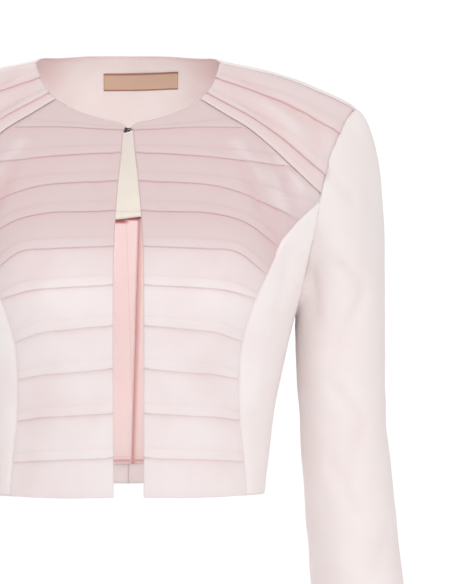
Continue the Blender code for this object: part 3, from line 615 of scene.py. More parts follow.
# where the upper part starts and ends, as turns round the ring and over the shoulder
TOP_Z = crest(SHOULDER_CORNER)
TOP_EDGE = ring_turn(SHOULDER_CORNER, TOP_Z)
LEVEL_EDGE = ring_turn(armhole_across(BLADES), BLADES)
LOW_CENTRE = shoulder_turn(0.0, BLADES)
LOW_EDGE = shoulder_turn(armhole_across(BLADES), BLADES)
BACK_FOLDS = [
    (152, -148, 112, -222, 8, 2.3), (150, -192, 100, -262, 8, 1.9), (136, -232, 74, -272, 7, 1.5),
    (96, -262, 40, -300, 10, 1.6), (118, -300, 88, -372, 9, 1.7), (56, -306, 34, -374, 9, 1.5),
    (40, -24, 72, -84, 10, 1.3), (118, -52, 152, -112, 9, 1.6), (16, -150, 26, -236, 9, 1.0),
    (78, -96, 62, -170, 12, 1.2), (132, -250, 104, -292, 8, -1.2), (70, -318, 62, -372, 7, -1.0),
]


def back_neck_turn(x):
    if x >= NECK_CORNER:
        return BACK_SEAM_TURN
    return math.radians(table_value(*BACK_NECK, x))


def armhole_end(up):
    """(x, z, turn) of the back's armhole edge, from the blades' level at 0 to the seam at 1."""
    turn = between(LOW_EDGE, BACK_SEAM_TURN, up)
    if turn <= 0:
        return SHOULDER_CORNER, TOP_Z, turn
    # a first guess, which each round brings nearer
    x = BACK_WIDTH
    for _ in range(8):
        z = crest(x) - SHOULDER_ROLL * (1 - math.cos(min(abs(turn), math.pi / 2)))
        z -= SHOULDER_ROLL * max(0.0, abs(turn) - math.pi / 2)
        x = armhole_across(z)
    return x, z, turn


ARMHOLE_ENDS = {}


def back_place(share, v):
    """The back's outer face: share runs from the centre to the side, v from the hem to the top."""
    if v <= LOWER_SHARE:
        z = between(HEM, BLADES, v / LOWER_SHARE)
        edge = ring_turn(armhole_across(z), z) if z > UNDERARM else 0.0
        dropped = z - hem_drop(z, 0.6 + 0.4 * (1 - share))
        return figure(ring_across(between(1.0, edge, share), dropped), dropped, 1)
    up = (v - LOWER_SHARE) / (1 - LOWER_SHARE)
    if up not in ARMHOLE_ENDS:
        ARMHOLE_ENDS[up] = armhole_end(up)
    edge_x, edge_z, edge_turn = ARMHOLE_ENDS[up]
    x = ring_across(between(1.0, ring_turn(edge_x, edge_z), share), edge_z)
    level_x = ring_across(between(1.0, LEVEL_EDGE, share), BLADES)
    top_x = ring_across(between(1.0, TOP_EDGE, share), TOP_Z)
    bend_low = shoulder_turn(level_x, BLADES) - between(LOW_CENTRE, LOW_EDGE, share)
    bend_top = back_neck_turn(top_x) - between(back_neck_turn(0.0), BACK_SEAM_TURN, share)
    turn = between(between(LOW_CENTRE, back_neck_turn(0.0), up), edge_turn, share)
    return over_shoulder(x, turn + bend_low * (1 - up) + bend_top * up**3)


def back_relief(p):
    """The back's folds. The facing and the lining follow them, so that the layers never cross."""
    q = Vector((abs(p.x), p.y, p.z))
    return crumple(q, (34, 0.8), (12, 0.18)) - press(BACK_FOLDS, q.x, q.z)


# shares of the width where the first and last columns stand, so that each seam is a fine line
BACK_CELLS = 72
BACK_COLUMNS = (
    [n / BACK_CELLS for n in (0, 1, 2, 3, 69, 70, 71, 72)],
    [0, 0.004, 0.009, 0.02, 0.98, 0.991, 0.996, 1],
)


def back_panel_place(u, v):
    return back_place(table_value(*BACK_COLUMNS, u), v)


def back_lift(u, v, p):
    across = BACK_WIDTH * table_value(*BACK_COLUMNS, u)
    lift = edge_roll(across, 1.3, 0.45) + edge_roll(BACK_WIDTH - across)
    lift += edge_roll((1 - v) * BACK_LENGTH, 1.8, 0.5) + edge_roll(v * BACK_LENGTH, 1.5, 0.8)
    # painted shade along the centre back seam and in the folds, painted highlight on ridges
    shade = 0.25 * (1 - eased(across / 1.2)) + 0.7 * painted_fold_shade(press(BACK_FOLDS, abs(p.x), p.z))
    return lift + back_relief(p), 0.0, shade


BACK_SIZE = Cloth(BACK_CELLS, 96, 0.7, 0.2, 0.42)
both_sides("back", "back_panel", back_panel_place, back_lift, BACK_SIZE, facing=-1)

# %% [markdown]
# ## Sleeves
#
# A set-in sleeve is a tube whose top edge is the armhole. The tube starts there, leaves outwards
# over the shoulder, and then hangs. Each line down the sleeve is one curve from the seam to the
# upper arm, and rings follow from there to the cuff. Soft drags are pressed in at the elbow and
# by the armpit.

# %% Sleeve form
# height, centre across, centre to the back, half width, half depth
ARM = columns([
    (-606, 214.0, -37, 37.5, 41), (-530, 207.4, -27, 39.6, 43), (-465, 201.7, -18, 40.6, 45),
    (-412, 196.8, -11, 39.8, 46), (-371, 193.6, -6, 39.4, 47), (-331, 191.0, -2, 38.8, 48),
    (-282, 188.5, 1, 39.4, 50), (-240, 187.6, 2, 39.8, 51),
])
CAP_FOOT, CUFF, CAP_SHARE = -240.0, -606.0, 0.36
SLEEVE_LENGTH = 560
SLEEVE_CELLS, SLEEVE_ROWS = 112, 130
# how strongly the cap leaves the seam outwards, and how it hangs there
CAP_LEAVES_OUT, CAP_LEAVES = 0.46, Vector((0, 0, -0.30))
# how deep each fold is pressed, and how many millimetres a degree round the sleeve is taken for
FOLD_STRENGTH, ARC = 1.45, 0.72
PUCKERS = 34
# turn round the sleeve in degrees (0 outside, 90 in front) and height, the same for the other end,
# spread, depth
SLEEVE_FOLDS = [
    (70, -92, 52, -128, 7, 1.5), (96, -180, 60, -205, 6, 1.6), (60, -205, 108, -262, 6, 1.5),
    (110, -286, 66, -322, 7, 1.6), (66, -322, 100, -372, 7, 1.4), (118, -352, 84, -398, 7, 1.2),
    (40, -412, 76, -452, 8, 1.0), (100, -466, 70, -520, 8, 1.1), (60, -540, 90, -590, 8, 0.9),
    (140, -150, 128, -230, 7, 1.7), (210, -240, 240, -300, 8, 1.6), (250, -330, 285, -368, 8, 1.7),
    (285, -368, 255, -410, 8, 1.4), (230, -420, 262, -470, 8, 1.1), (300, -520, 270, -580, 8, 1.0),
    (330, -280, 345, -350, 9, 1.0), (20, -250, 8, -330, 9, 0.9), (235, -110, 252, -190, 8, 1.4),
]


def armhole_loop():
    """The armhole once round, down the front and up the back from the seam, with its turns."""
    heights = [between(-51.0, UNDERARM, eased(n / 60)) for n in range(61)]
    loop = [over_shoulder(SHOULDER_CORNER, -SHOULDER_SEAM_TURN)]
    loop += [figure(armhole_across(z), z, -1) for z in heights]
    under = len(loop) - 1
    loop += [figure(armhole_across(z), z, 1) for z in heights[-2::-1]]
    loop += [over_shoulder(SHOULDER_CORNER, 0.0), loop[0]]
    lengths = [0.0]
    for a, b in zip(loop, loop[1:]):
        lengths.append(lengths[-1] + (b - a).length)
    front, back = lengths[under], lengths[-1] - lengths[under]
    halves = [s / front if s <= front else 1 + (s - front) / back for s in lengths]
    return loop, [math.pi * half for half in halves]


ARMHOLE_LOOP, ARMHOLE_TURNS = armhole_loop()


def armhole_round(turn):
    """A point of the armhole: 0 is the shoulder seam and half a circle the underarm."""
    k = max(0, min(len(ARMHOLE_TURNS) - 2, bisect.bisect_right(ARMHOLE_TURNS, turn) - 1))
    step = ARMHOLE_TURNS[k + 1] - ARMHOLE_TURNS[k]
    return ARMHOLE_LOOP[k].lerp(ARMHOLE_LOOP[k + 1], (turn - ARMHOLE_TURNS[k]) / step)


def bell(distance, spread):
    """1 in the middle, falling away softly on either side."""
    return math.exp(-((distance / spread) ** 2))


def start_normal(point):
    """Outwards from the body's middle, or straight up where the armhole turns over."""
    if abs(point.y) <= 4:
        return Vector((0, 0, 1))
    return Vector((point.x * 0.2, point.y, 0)).normalized()


def sleeve_ring(turn, z):
    across, back, wide, deep = [table_value(ARM[0], column, z) for column in ARM[1:]]
    return Vector((across + wide * math.cos(turn), back - deep * math.sin(turn), z))


def sleeve_place(u, v):
    turn = 2 * math.pi * (u % 1.0)
    if v <= 1 - CAP_SHARE:
        return sleeve_ring(turn, between(CUFF, CAP_FOOT, v / (1 - CAP_SHARE)))
    start, foot = armhole_round(turn), sleeve_ring(turn, CAP_FOOT)
    if v == 1:
        # the allowance, turned in under the body's edge
        return start + (Vector((-2.0, 0, 0)) - start_normal(start) * 1.6)
    t = max(0.0, (1 - v) / CAP_SHARE - 1 / (CAP_SHARE * SLEEVE_ROWS))
    ahead, behind = [armhole_round((turn + step) % (2 * math.pi)) for step in (0.05, -0.05)]
    edge = (ahead - behind).normalized()
    out = Vector((1, 0, 0)) - edge * edge.x
    out = Vector((out.x, out.y * 0.3, out.z * 0.3)).normalized()
    start = start + out * 0.25
    reach = (foot - start).length
    a, leaving, b, arriving = curve_weights(t)
    p = start * a + (out * CAP_LEAVES_OUT + CAP_LEAVES) * reach * leaving
    return p + foot * b + Vector((0, 0, -reach)) * arriving


def sleeve_lift(u, v, p):
    turn = 360 * (u % 1.0)
    from_cap = (1 - v) * SLEEVE_LENGTH
    lift = crumple(p, (30, 0.9), (12, 0.2))
    lift += edge_roll(from_cap, 3.0, 1.0) + edge_roll(v * SLEEVE_LENGTH, 1.5, 0.7)
    pressed = 0.0
    for a0, z0, a1, z1, spread, depth in SLEEVE_FOLDS:
        middle = (a0 + a1) / 2
        around = (turn - middle + 180) % 360 - 180
        ends = (a0 - middle) * ARC, z0, (a1 - middle) * ARC, z1
        pressed += press([(*ends, spread, depth * FOLD_STRENGTH)], around * ARC, p.z)
    # the cap is eased into the armhole, so it puckers a little over the shoulder
    ease = bell(from_cap - 6, 5) * (0.5 + 0.5 * math.cos(math.radians(turn)))
    lift += 0.35 * ease * math.sin(u * 2 * math.pi * PUCKERS) - pressed
    # painted shade along the armhole seam and in the drags, painted highlight on ridges
    return lift, 0.0, 0.7 * (1 - eased(from_cap / 4)) + 0.6 * painted_fold_shade(pressed)


SLEEVE_SIZE = Cloth(SLEEVE_CELLS, SLEEVE_ROWS, 0.7, 0.27, 0.57)
both_sides("sleeve", "sleeve_tube", sleeve_place, sleeve_lift, SLEEVE_SIZE, facing=-1, closed=True)

# %% [markdown]
# ## Inside the back
#
# Through the neck and between the fronts one sees the inside of the back: a deep facing with a
# straight, turned lower edge, and below it a pink lining with a pleat. Both are sheets of their
# own, moved inwards from the back's form by the layers behind them.

# %% Neck facing
FACING_SHARE = 0.6
FACING_LENGTH = 150
PLEAT_LIFT = 1.3
# how far in from the back's outer face the layers hang
FACING_IN = {"foot": 3.1, "middle": 1.9, "top": 1.25}
LINING_IN = 2.3


def facing_place(u, v):
    share = abs(u - 0.5) * 2 * FACING_SHARE
    p = back_place(share, between(LOWER_SHARE, 1.0, v))
    return Vector((p.x if u >= 0.5 else -p.x, p.y, p.z))


def facing_slant(x):
    """How far the facing's lower edge rises towards the wearer's left."""
    return 0.13 * x * bell(x, 45)


def facing_lift(u, v, p):
    up, down = v * FACING_LENGTH, (1 - v) * FACING_LENGTH
    lap = PLEAT_LIFT * (1 - eased((abs(p.x) - 20) / 40))
    near = between(FACING_IN["foot"] + lap, FACING_IN["middle"], eased((v - 0.12) / 0.7))
    near = between(near, FACING_IN["top"], 1 - eased(down / 5))
    hem = 0.45 * (1 - eased((up - 5.4) / 0.8)) - 0.5 * (1 - min(1.0, up / 0.8)) ** 2
    groove = -0.35 * bell(down - 7, 0.9)
    slant = facing_slant(p.x) * (1 - eased(v / 0.3))
    # painted shade towards the upper corners, along the stitched row and along the top edge
    corner = 0.6 * eased((abs(p.x) - 40) / 44) * eased((v - 0.55) / 0.35)
    row = 0.35 * bell(up - 6.0, 0.8)
    rim = 0.7 * (1 - eased(down / 3.5))
    return -near - hem - groove + back_relief(p), slant, row + corner + rim


FACING_SIZE = Cloth(110, 64, 0.5, 0.3, 0.16)
pieces["neck_facing"] = sheet_mesh(
    "deep_neck_facing", facing_place, facing_lift, FACING_SIZE, facing=-1
)
print("facing faces:", len(pieces["neck_facing"].data.polygons))

# %% Back lining with its pleat
LINING_TOP, LINING_HEM = -124.0, -364.0
LINING_SHARE = 0.88
PLEAT_TOP, PLEAT_FOOT, PLEAT_WIDTH = 10.3, 2.7, 8.2
# rows gather where the painted shadow of the facing's edge lies on the lining
LINING_LEVELS = [0.0, 0.8, 0.96, 1.0], [LINING_HEM, -147.0, -137.0, LINING_TOP]


def lining_start(hand, z):
    """Where each side's lining starts: the wearer's right reaches over the left by the pleat."""
    fold = between(PLEAT_FOOT, PLEAT_TOP, (z - LINING_HEM) / (LINING_TOP - LINING_HEM))
    return -fold if hand < 0 else fold - PLEAT_WIDTH


def lining_maker(hand):
    """The lining's place and lift; the wearer's right laps over the left."""
    def place(u, v):
        z = table_value(*LINING_LEVELS, v)
        far_x = ring_across(between(1.0, LEVEL_EDGE, LINING_SHARE), z)
        if z < BLADES:
            far_x = back_place(LINING_SHARE, LOWER_SHARE * (z - HEM) / (BLADES - HEM)).x
        x = between(lining_start(hand, z), far_x, eased(u) * 0.5 + u * 0.5)
        return figure(x, z - hem_drop(z, 0.6), 1)

    def lift(u, v, p):
        along = p.x - lining_start(hand, p.z)
        near, deep = LINING_IN, 0.0
        if hand < 0:
            over = PLEAT_LIFT * (1 - eased((p.x - 8) / 24))
            roll = 0.8 * (1 - min(1.0, along / 1.6)) ** 2
            near += over - roll - 0.35 * bell(along - PLEAT_WIDTH, 1.0)
        else:
            # painted shadow beside the pleat, where the wearer's right laps over
            deep = 1.0 - eased((along - 8) / 5.5)
        # painted shadow under the facing's lower edge, above 1 right beneath it
        below = BLADES + facing_slant(p.x * hand) - p.z
        under = 1.9 * (1 - eased((below - 2.1 + 0.05 * p.x * hand) / 1.4))
        return -near + back_relief(p), 0.0, max(deep, under)

    return place, lift


LINING_SIZE = Cloth(44, 70, 0.4, 0.14, 0.24)
for hand, word in SIDES:
    form = *lining_maker(hand), LINING_SIZE
    pieces[f"lining_{word}"] = sheet_mesh(f"back_lining_{word}", *form, facing=-1, hand=hand)
print("lining faces:", len(pieces["lining_left"].data.polygons))

# %% [markdown]
# ## Label
#
# A woven label is a stiff little ribbon, folded under at both short ends and stitched down there.
# It is left bare here. It is laid on the facing by looking along a line to the facing's face.

# %% Label
LABEL = {"width": 68.0, "height": 15.0, "across": 11.5, "level": -16.5, "tilt": -0.02}
LABEL_LIFT = 1.1
# metres in front of the origin from which each cloth is looked at
LABEL_SEEN_FROM, STITCHES_SEEN_FROM = -0.15, -0.02


def skin_of(mesh):
    corners = [v.co[:] for v in mesh.vertices]
    return BVHTree.FromPolygons(corners, [p.vertices[:] for p in mesh.polygons])


def skin_point(skin, x, z, lift, seen_from=STITCHES_SEEN_FROM):
    """A point on a cloth inside the back, seen from the front and lifted off its face."""
    start = Vector((x * MM, seen_from, z * MM))
    spot, normal, _, _ = skin.ray_cast(start, Vector((0, 1, 0)))
    if spot is None:
        return None
    return spot / MM + (-normal if normal.y > 0 else normal) * lift


FACING_SKIN = skin_of(pieces["neck_facing"].data)


def label_place(u, v):
    across = (u - 0.5) * LABEL["width"]
    level = LABEL["level"] + (v - 0.5) * LABEL["height"] - across * LABEL["tilt"]
    x = LABEL["across"] + across
    return skin_point(FACING_SKIN, x, level, LABEL_LIFT, LABEL_SEEN_FROM)


def label_lift(u, v, p):
    end = min(u, 1 - u) * LABEL["width"]
    folded = 0.25 * (1 - eased(end / 4.0)) - 0.35 * (1 - eased(end / 1.2))
    return folded + 0.5 * math.sin(u * math.pi) ** 2, 0.0, 0.0


LABEL_SIZE = Cloth(68, 18, 0.35, 0.068, 0.015)
pieces["label"] = sheet_mesh("woven_label", label_place, label_lift, LABEL_SIZE)
print("label:", LABEL["width"], "x", LABEL["height"], "mm")

# %% [markdown]
# ## Hook and eye
#
# The fastening is a bent wire hook that catches in a wire loop, each sewn to its own front edge.
# A curve with a round bevel is the plain way to make a wire: the stations are the bends, and the
# depth is half the wire's gauge. It is turned into a mesh at the end, so that it exports as one
# piece.

# %% Where the fastening sits
SHELL = 1.4
WIRE = 0.9
CLOSURE_LEVEL = -65.2


def mirrored(half):
    """A bent wire's stations, from one foot to the bend's middle and back down the other side."""
    return half + [(s, -t, d) for s, t, d in reversed(half) if t]


# across to the wearer's left, up the panel, in from its inner face
HOOK = mirrored([
    (7.4, 1.7, 0.9), (8.4, 3.0, 0.9), (10.2, 3.0, 0.9), (10.8, 1.6, 0.9), (9.2, 0.75, 0.9),
    (3.0, 0.75, 0.9), (-2.2, 0.75, 0.9), (-3.5, 0.75, 2.2), (-2.2, 0.75, 3.5), (0.6, 0.6, 3.5),
    (1.4, 0.0, 3.5),
])
EYE = mirrored([
    (-9.0, 0.7, 0.9), (-10.6, 0.8, 0.9), (-11.4, 2.2, 0.9), (-10.2, 3.3, 0.9), (-7.8, 2.9, 0.9),
    (-4.4, 2.4, 1.5), (-1.9, 2.3, 2.2), (-1.2, 1.4, 2.2),
])


def closure_point(s, t, d):
    """A place inside the front edges, on the slope that the cloth has there."""
    top, foot = figure(6, CLOSURE_LEVEL + 4, -1), figure(6, CLOSURE_LEVEL - 4, -1)
    up = (top - foot).normalized()
    inwards = up.cross(Vector((1, 0, 0))).normalized()
    if inwards.y < 0:
        inwards = -inwards
    middle = (top + foot) / 2
    return Vector((s, middle.y, middle.z)) + up * t + inwards * (SHELL + d)


def strand(name, runs, radius, sides=4):
    """Round strands, each along its own points in millimetres, as one mesh."""
    curve = bpy.data.curves.new(name, "CURVE")
    curve.dimensions = "3D"
    curve.bevel_depth = radius * MM
    curve.bevel_resolution = sides
    curve.resolution_u = 4
    curve.use_fill_caps = True
    for run in runs:
        line = curve.splines.new("NURBS")
        line.points.add(len(run) - 1)
        for point, place in zip(line.points, run):
            point.co = (*(Vector(place) * MM), 1)
        line.order_u = 3
        line.use_endpoint_u = True
    holder = add_object(name, curve)
    bpy.context.view_layer.update()
    shape = holder.evaluated_get(bpy.context.evaluated_depsgraph_get())
    mesh = bpy.data.meshes.new_from_object(shape)
    mesh.name = name
    bpy.data.objects.remove(holder)
    mesh.shade_smooth()
    return add_object(name, mesh)


for node, stations in (("hook", HOOK), ("eye", EYE)):
    pieces[node] = strand(f"{node}_wire", [[closure_point(*p) for p in stations]], WIRE / 2)
    print(node, "faces:", len(pieces[node].data.polygons))

# %% [markdown]
# ## Threads
#
# Stitches are what tells a sewn thing from a moulded one. Each is a short strand of thread laid
# on the cloth. The lining's lower edge is overlocked in a deeper pink: zigzag loops over the cut
# edge, between two straight rows. A dotted row runs beside the pleat and above the facing's edge,
# and the label is held down at its two short ends.

# %% Threads on the lining and the facing
STITCH_DIP = Vector((0, 0.25, 0))


def solid_skin(piece):
    """The cloth's skin with its thickness."""
    bpy.context.view_layer.update()
    shape = piece.evaluated_get(bpy.context.evaluated_depsgraph_get())
    skin = skin_of(shape.to_mesh())
    shape.to_mesh_clear()
    return skin


SEWN = "lining_left", "lining_right", "neck_facing", "label"
SKINS = {name: solid_skin(pieces[name]) for name in SEWN}


def laid_run(skin, places, lift=0.18):
    run = [skin_point(skin, x, z, lift) for x, z in places]
    return [p for p in run if p is not None]


def stitches(skin, start, end, pitch=2.6, length=1.9):
    """A straight row of stitches between two places seen from the front."""
    way = Vector((end[0] - start[0], end[1] - start[1]))
    count, way = round(way.length / pitch), way.normalized()
    runs = []
    for n in range(count):
        a = Vector(start) + way * (n * pitch)
        places = [(a + way * (length * s))[:] for s in (0, 0.5, 1)]
        run = laid_run(skin, places)
        if len(run) == 3:
            run[0] += STITCH_DIP
            run[2] += STITCH_DIP
            runs.append(run)
    return runs


LOOPS, LOOP_PITCH = 86, 1.22
overlock = []
for hand, word in SIDES:
    skin = SKINS[f"lining_{word}"]
    start = 0.5 - PLEAT_FOOT if hand < 0 else 0.0
    low = LINING_HEM - 1.6
    for n in range(LOOPS):
        x = (start + n * LOOP_PITCH) * hand
        zigzag = [(x, low + 0.4), (x + 0.6 * hand, low + 5.6), (x + 1.2 * hand, low + 0.6)]
        run = laid_run(skin, zigzag, 0.22)
        if len(run) == 3:
            overlock.append(run)
    for level in (1.0, 3.4, 5.6):
        ends = [(across * hand, low + level) for across in (start, start + 104)]
        overlock += stitches(skin, *ends, 2.1, 1.9)
pieces["overlock_thread"] = strand("overlock_thread", overlock, 0.17, 1)

pleat_ends = (8.0 - PLEAT_FOOT, LINING_HEM + 2), (-1.9, LINING_TOP - 18)
pleat_row = stitches(SKINS["lining_right"], *pleat_ends, 2.8, 1.6)
pieces["pleat_thread"] = strand("pleat_thread", pleat_row, 0.15, 1)

# the facing is about 340 mm wide along its foot; the row runs 5.8 mm above that
facing_row = []
for n in range(70):
    x = -92 + n * 2.64
    foot = facing_place(0.5 + x / (2 * BACK_WIDTH), 0.0).z + 5.8
    facing_row += stitches(SKINS["neck_facing"], (x, foot), (x + 2.6, foot), 2.6, 1.8)
pieces["facing_thread"] = strand("facing_thread", facing_row, 0.15, 1)
print("overlock runs:", len(overlock), "pleat:", len(pleat_row), "facing:", len(facing_row))

# %% Threads on the label and the fastening
label_runs = []
for side in (-1, 1):
    x = LABEL["across"] + side * (LABEL["width"] / 2 - 1.4)
    middle = LABEL["level"] - side * LABEL["width"] / 2 * LABEL["tilt"]
    label_runs += stitches(SKINS["label"], (x, middle - 6.6), (x, middle + 6.6), 2.0, 1.4)
pieces["label_thread"] = strand("label_thread", label_runs, 0.16, 1)

# each wrap goes over the wire and down into the cloth on both sides: up the panel, in
WRAP = (-0.9, 0.9), (-0.35, -0.75), (0.35, -0.75), (0.9, 0.9)
wraps = []
for s, t, d in (HOOK[1], HOOK[3], HOOK[-2], HOOK[-4], EYE[2], EYE[3], EYE[-3], EYE[-4]):
    for shift in (-0.45, 0.0, 0.45):
        wraps.append([closure_point(s + shift, t + a, d + b) for a, b in WRAP])
pieces["fastening_thread"] = strand("fastening_thread", wraps, 0.13, 1)
print("label stitches:", len(label_runs), "wraps:", len(wraps))

# %% [markdown]
# ## Materials
#
# Crepe has a dull, pebbled face with a soft sheen at glancing angles. Its colour carries painted
# shade: the deep places between tucks, along seams and under edges are painted warmer, for light
# that reaches them has already met pink cloth, and ridges get a painted highlight. Each of those is
# one expression on top of the next. A small class wraps a socket, so that shader maths reads like
# arithmetic.

# %% A socket that does arithmetic
class Value:
    """A number that varies over a surface, as a shader's socket."""

    def __init__(self, maker, socket):
        self.maker, self.socket = maker, socket

    def _maths(self, operation, *values):
        sockets = {i: v.socket if isinstance(v, Value) else v for i, v in enumerate(values)}
        made = self.maker.node("ShaderNodeMath", {"operation": operation}, sockets)
        return Value(self.maker, made.outputs[0])

    def __add__(self, other):
        return self._maths("ADD", self, other)

    def __sub__(self, other):
        return self._maths("SUBTRACT", self, other)

    def __rsub__(self, other):
        return self._maths("SUBTRACT", other, self)

    def __mul__(self, other):
        return self._maths("MULTIPLY", self, other)

    __radd__, __rmul__ = __add__, __mul__

    def sine(self):
        return self._maths("SINE", self)


class Nodes:
    """The nodes of one material or of the world."""

    def __init__(self, owner):
        owner.use_nodes = True
        self.tree = owner.node_tree

    def node(self, kind, settings=None, sockets=None):
        made = self.tree.nodes.new(kind)
        for key, value in (settings or {}).items():
            setattr(made, key, value)
        for key, value in (sockets or {}).items():
            if isinstance(value, Value):
                value = value.socket
            if isinstance(value, bpy.types.NodeSocket):
                self.tree.links.new(value, made.inputs[key])
            else:
                made.inputs[key].default_value = value
        return made


class Finish(Nodes):
    """A material under construction."""

    def __init__(self, name, roughness, constants=None):
        self.material = bpy.data.materials.new(name)
        super().__init__(self.material)
        self.shader = self.tree.nodes["Principled BSDF"]
        self.shader.inputs["Roughness"].default_value = roughness
        for socket, value in (constants or {}).items():
            self.shader.inputs[socket].default_value = value

    def link(self, source, target):
        source = source.socket if isinstance(source, Value) else source
        self.tree.links.new(source, self.shader.inputs[target])

    def mix(self, share, a, b):
        settings, sockets = {"data_type": "RGBA"}, {0: share, 6: a, 7: b}
        return self.node("ShaderNodeMix", settings, sockets).outputs[2]

    def noise(self, place, scale, detail=2.0):
        sockets = {"Vector": place, "Scale": scale, "Detail": detail}
        return Value(self, self.node("ShaderNodeTexNoise", {}, sockets).outputs["Fac"])

    def cloth_place(self):
        return self.node("ShaderNodeUVMap", {"uv_map": "UVMap"}).outputs[0]

    def object_place(self):
        return self.node("ShaderNodeTexCoord").outputs["Object"]

    # the painted shade, or below 0 painted highlight, that each sheet keeps per point
    def painted_shading(self):
        made = self.node("ShaderNodeAttribute", {"attribute_name": "painted_shading"})
        return Value(self, made.outputs["Fac"])

    def ramp(self, value, start, end, to=(0.0, 1.0), easing="LINEAR"):
        """A share that changes from one end of a range to the other."""
        sockets = {
            "Value": value, "From Min": start, "From Max": end, "To Min": to[0], "To Max": to[1],
        }
        settings = {"clamp": True, "interpolation_type": easing}
        return self.node("ShaderNodeMapRange", settings, sockets).outputs[0]

    def split(self, place):
        made = self.node("ShaderNodeSeparateXYZ", {}, {0: place})
        return [Value(self, made.outputs[i]) for i in range(3)]

    def bump(self, height, strength, distance):
        sockets = {"Height": height, "Strength": strength, "Distance": distance}
        self.link(self.node("ShaderNodeBump", {}, sockets).outputs[0], "Normal")


def linear(r, g, b):
    """A screen colour of 0 to 255 as the shader's linear one."""
    parts = [v / 255 for v in (r, g, b)]
    return (*[v / 12.92 if v <= 0.04045 else ((v + 0.055) / 1.055) ** 2.4 for v in parts], 1.0)


print("white is", linear(255, 255, 255))

# %% Crepe
PEBBLE = 2600.0
THREADS = 9000.0
DULL = {"Sheen Weight": 0.25, "Sheen Roughness": 0.45, "Specular IOR Level": 0.3}


def crepe(name, high, low, deep, bands=(-0.188, -0.15), fold=0.58, by_cloth=False):
    """The jacket's cloth: high and low are its colours at the two levels, deep that of the painted
    shade in folds and seams and of the cloth's random blotches. Low is also the colour of the
    painted highlight on ridges, and fold sets how strongly the painted shade shows.

    The levels are heights, or places along the cloth itself."""
    made = Finish(name, 0.62, DULL)
    cloth, place = made.cloth_place(), made.object_place()
    level = made.split(cloth)[1] if by_cloth else made.split(place)[2]
    colour = made.mix(made.ramp(level, *bands), low, high)
    blotch = made.noise(place, 22.0, 3.0)
    colour = made.mix((blotch - 0.5) * 0.35 + 0.1, colour, deep)
    # painted shade in folds, seams and under edges; below 0, a painted highlight towards the low
    # colour
    depth = made.painted_shading()
    colour = made.mix(depth * fold, colour, deep)
    colour = made.mix(depth * -0.9, colour, low)
    made.link(colour, "Base Color")
    pebble = made.noise(cloth, PEBBLE, 3.0)
    across, up, _ = made.split(cloth)
    threads = (across * THREADS).sine() * (up * THREADS).sine()
    made.bump(pebble * 0.8 + threads * 0.25, 0.42, 0.0002)
    made.link(made.noise(cloth, PEBBLE * 0.5, 2.0) * 0.16 + 0.54, "Roughness")
    return made.material


ROSE_HIGH, ROSE_LOW = linear(221, 201, 201), linear(243, 234, 234)
# colours of the painted shade in folds and seams, also of the cloth's random blotches
ROSE_SHADE_AND_BLOTCH, PALE_SHADE_AND_BLOTCH = linear(226, 180, 180), linear(226, 196, 194)
PALE_HIGH, PALE_LOW = linear(243, 235, 233), linear(242, 232, 231)
BY_ROSE_ROW = ROSE_ROW - 0.028, ROSE_ROW + 0.026
finishes = {
    "front": crepe("tucked crepe", ROSE_HIGH, ROSE_LOW, ROSE_SHADE_AND_BLOTCH, BY_ROSE_ROW, by_cloth=True),
    "yoke": crepe("yoke crepe", linear(232, 215, 214), ROSE_LOW, ROSE_SHADE_AND_BLOTCH),
    "side": crepe(
        "side crepe", linear(249, 243, 242), linear(250, 244, 243), ROSE_SHADE_AND_BLOTCH, fold=0.5
    ),
    "sleeve": crepe("sleeve crepe", PALE_HIGH, PALE_LOW, PALE_SHADE_AND_BLOTCH, (-0.6, -0.05), 0.5),
    "back": crepe("back crepe", PALE_HIGH, PALE_LOW, PALE_SHADE_AND_BLOTCH, fold=0.5),
    "facing": crepe(
        "facing crepe", linear(250, 244, 242), linear(238, 241, 229), ROSE_SHADE_AND_BLOTCH, (-0.09, -0.05), 0.8
    ),
}
print("crepes:", len(finishes))

# %% Lining, label, thread and wire
def lining_cloth():
    """Smooth habotai: a fine diagonal rib and more gloss than the crepe."""
    made = Finish("pink lining", 0.42, {"Sheen Weight": 0.15, "Specular IOR Level": 0.45})
    cloth, place = made.cloth_place(), made.object_place()
    blotch = made.noise(place, 16.0, 3.0)
    colour = made.mix((blotch - 0.5) * 0.8 + 0.2, linear(242, 222, 220), linear(236, 206, 204))
    depth = made.painted_shading()
    # painted shadow beside the pleat and under the facing's edge, darkest where the value passes 1
    colour = made.mix(depth * 0.9, colour, linear(198, 122, 120))
    made.link(made.mix(depth - 1.0, colour, linear(120, 50, 56)), "Base Color")
    across, up, _ = made.split(cloth)
    rib = ((across + up) * 14000.0).sine()
    made.bump(rib * 0.3 + made.noise(cloth, 3200.0, 2.0) * 0.5, 0.15, 0.00015)
    made.link(blotch * 0.14 + 0.36, "Roughness")
    return made.material


RIB_PITCH, WARP_PITCH = 0.00045, 0.0006


def label_cloth():
    """Woven sand satin: crosswise ribs with a darker thread border along the long edges."""
    made = Finish("sand label weave", 0.5, {"Sheen Weight": 0.2})
    cloth = made.cloth_place()
    across, up, _ = made.split(cloth)
    ribs = (up * (2 * math.pi / RIB_PITCH)).sine()
    warp = (across * (2 * math.pi / WARP_PITCH)).sine()
    off_middle = up - LABEL_SIZE.length / 2
    edge = made.ramp(off_middle * off_middle, 0.000034, 0.000042)
    colour = made.mix(ribs * 0.12 + warp * 0.1 + 0.25, linear(220, 190, 166), linear(192, 152, 124))
    made.link(made.mix(edge, colour, linear(168, 118, 92)), "Base Color")
    made.bump(ribs * 0.6 + warp * 0.3, 0.3, 0.0001)
    made.link(made.noise(cloth, 900.0) * 0.15 + 0.42, "Roughness")
    return made.material


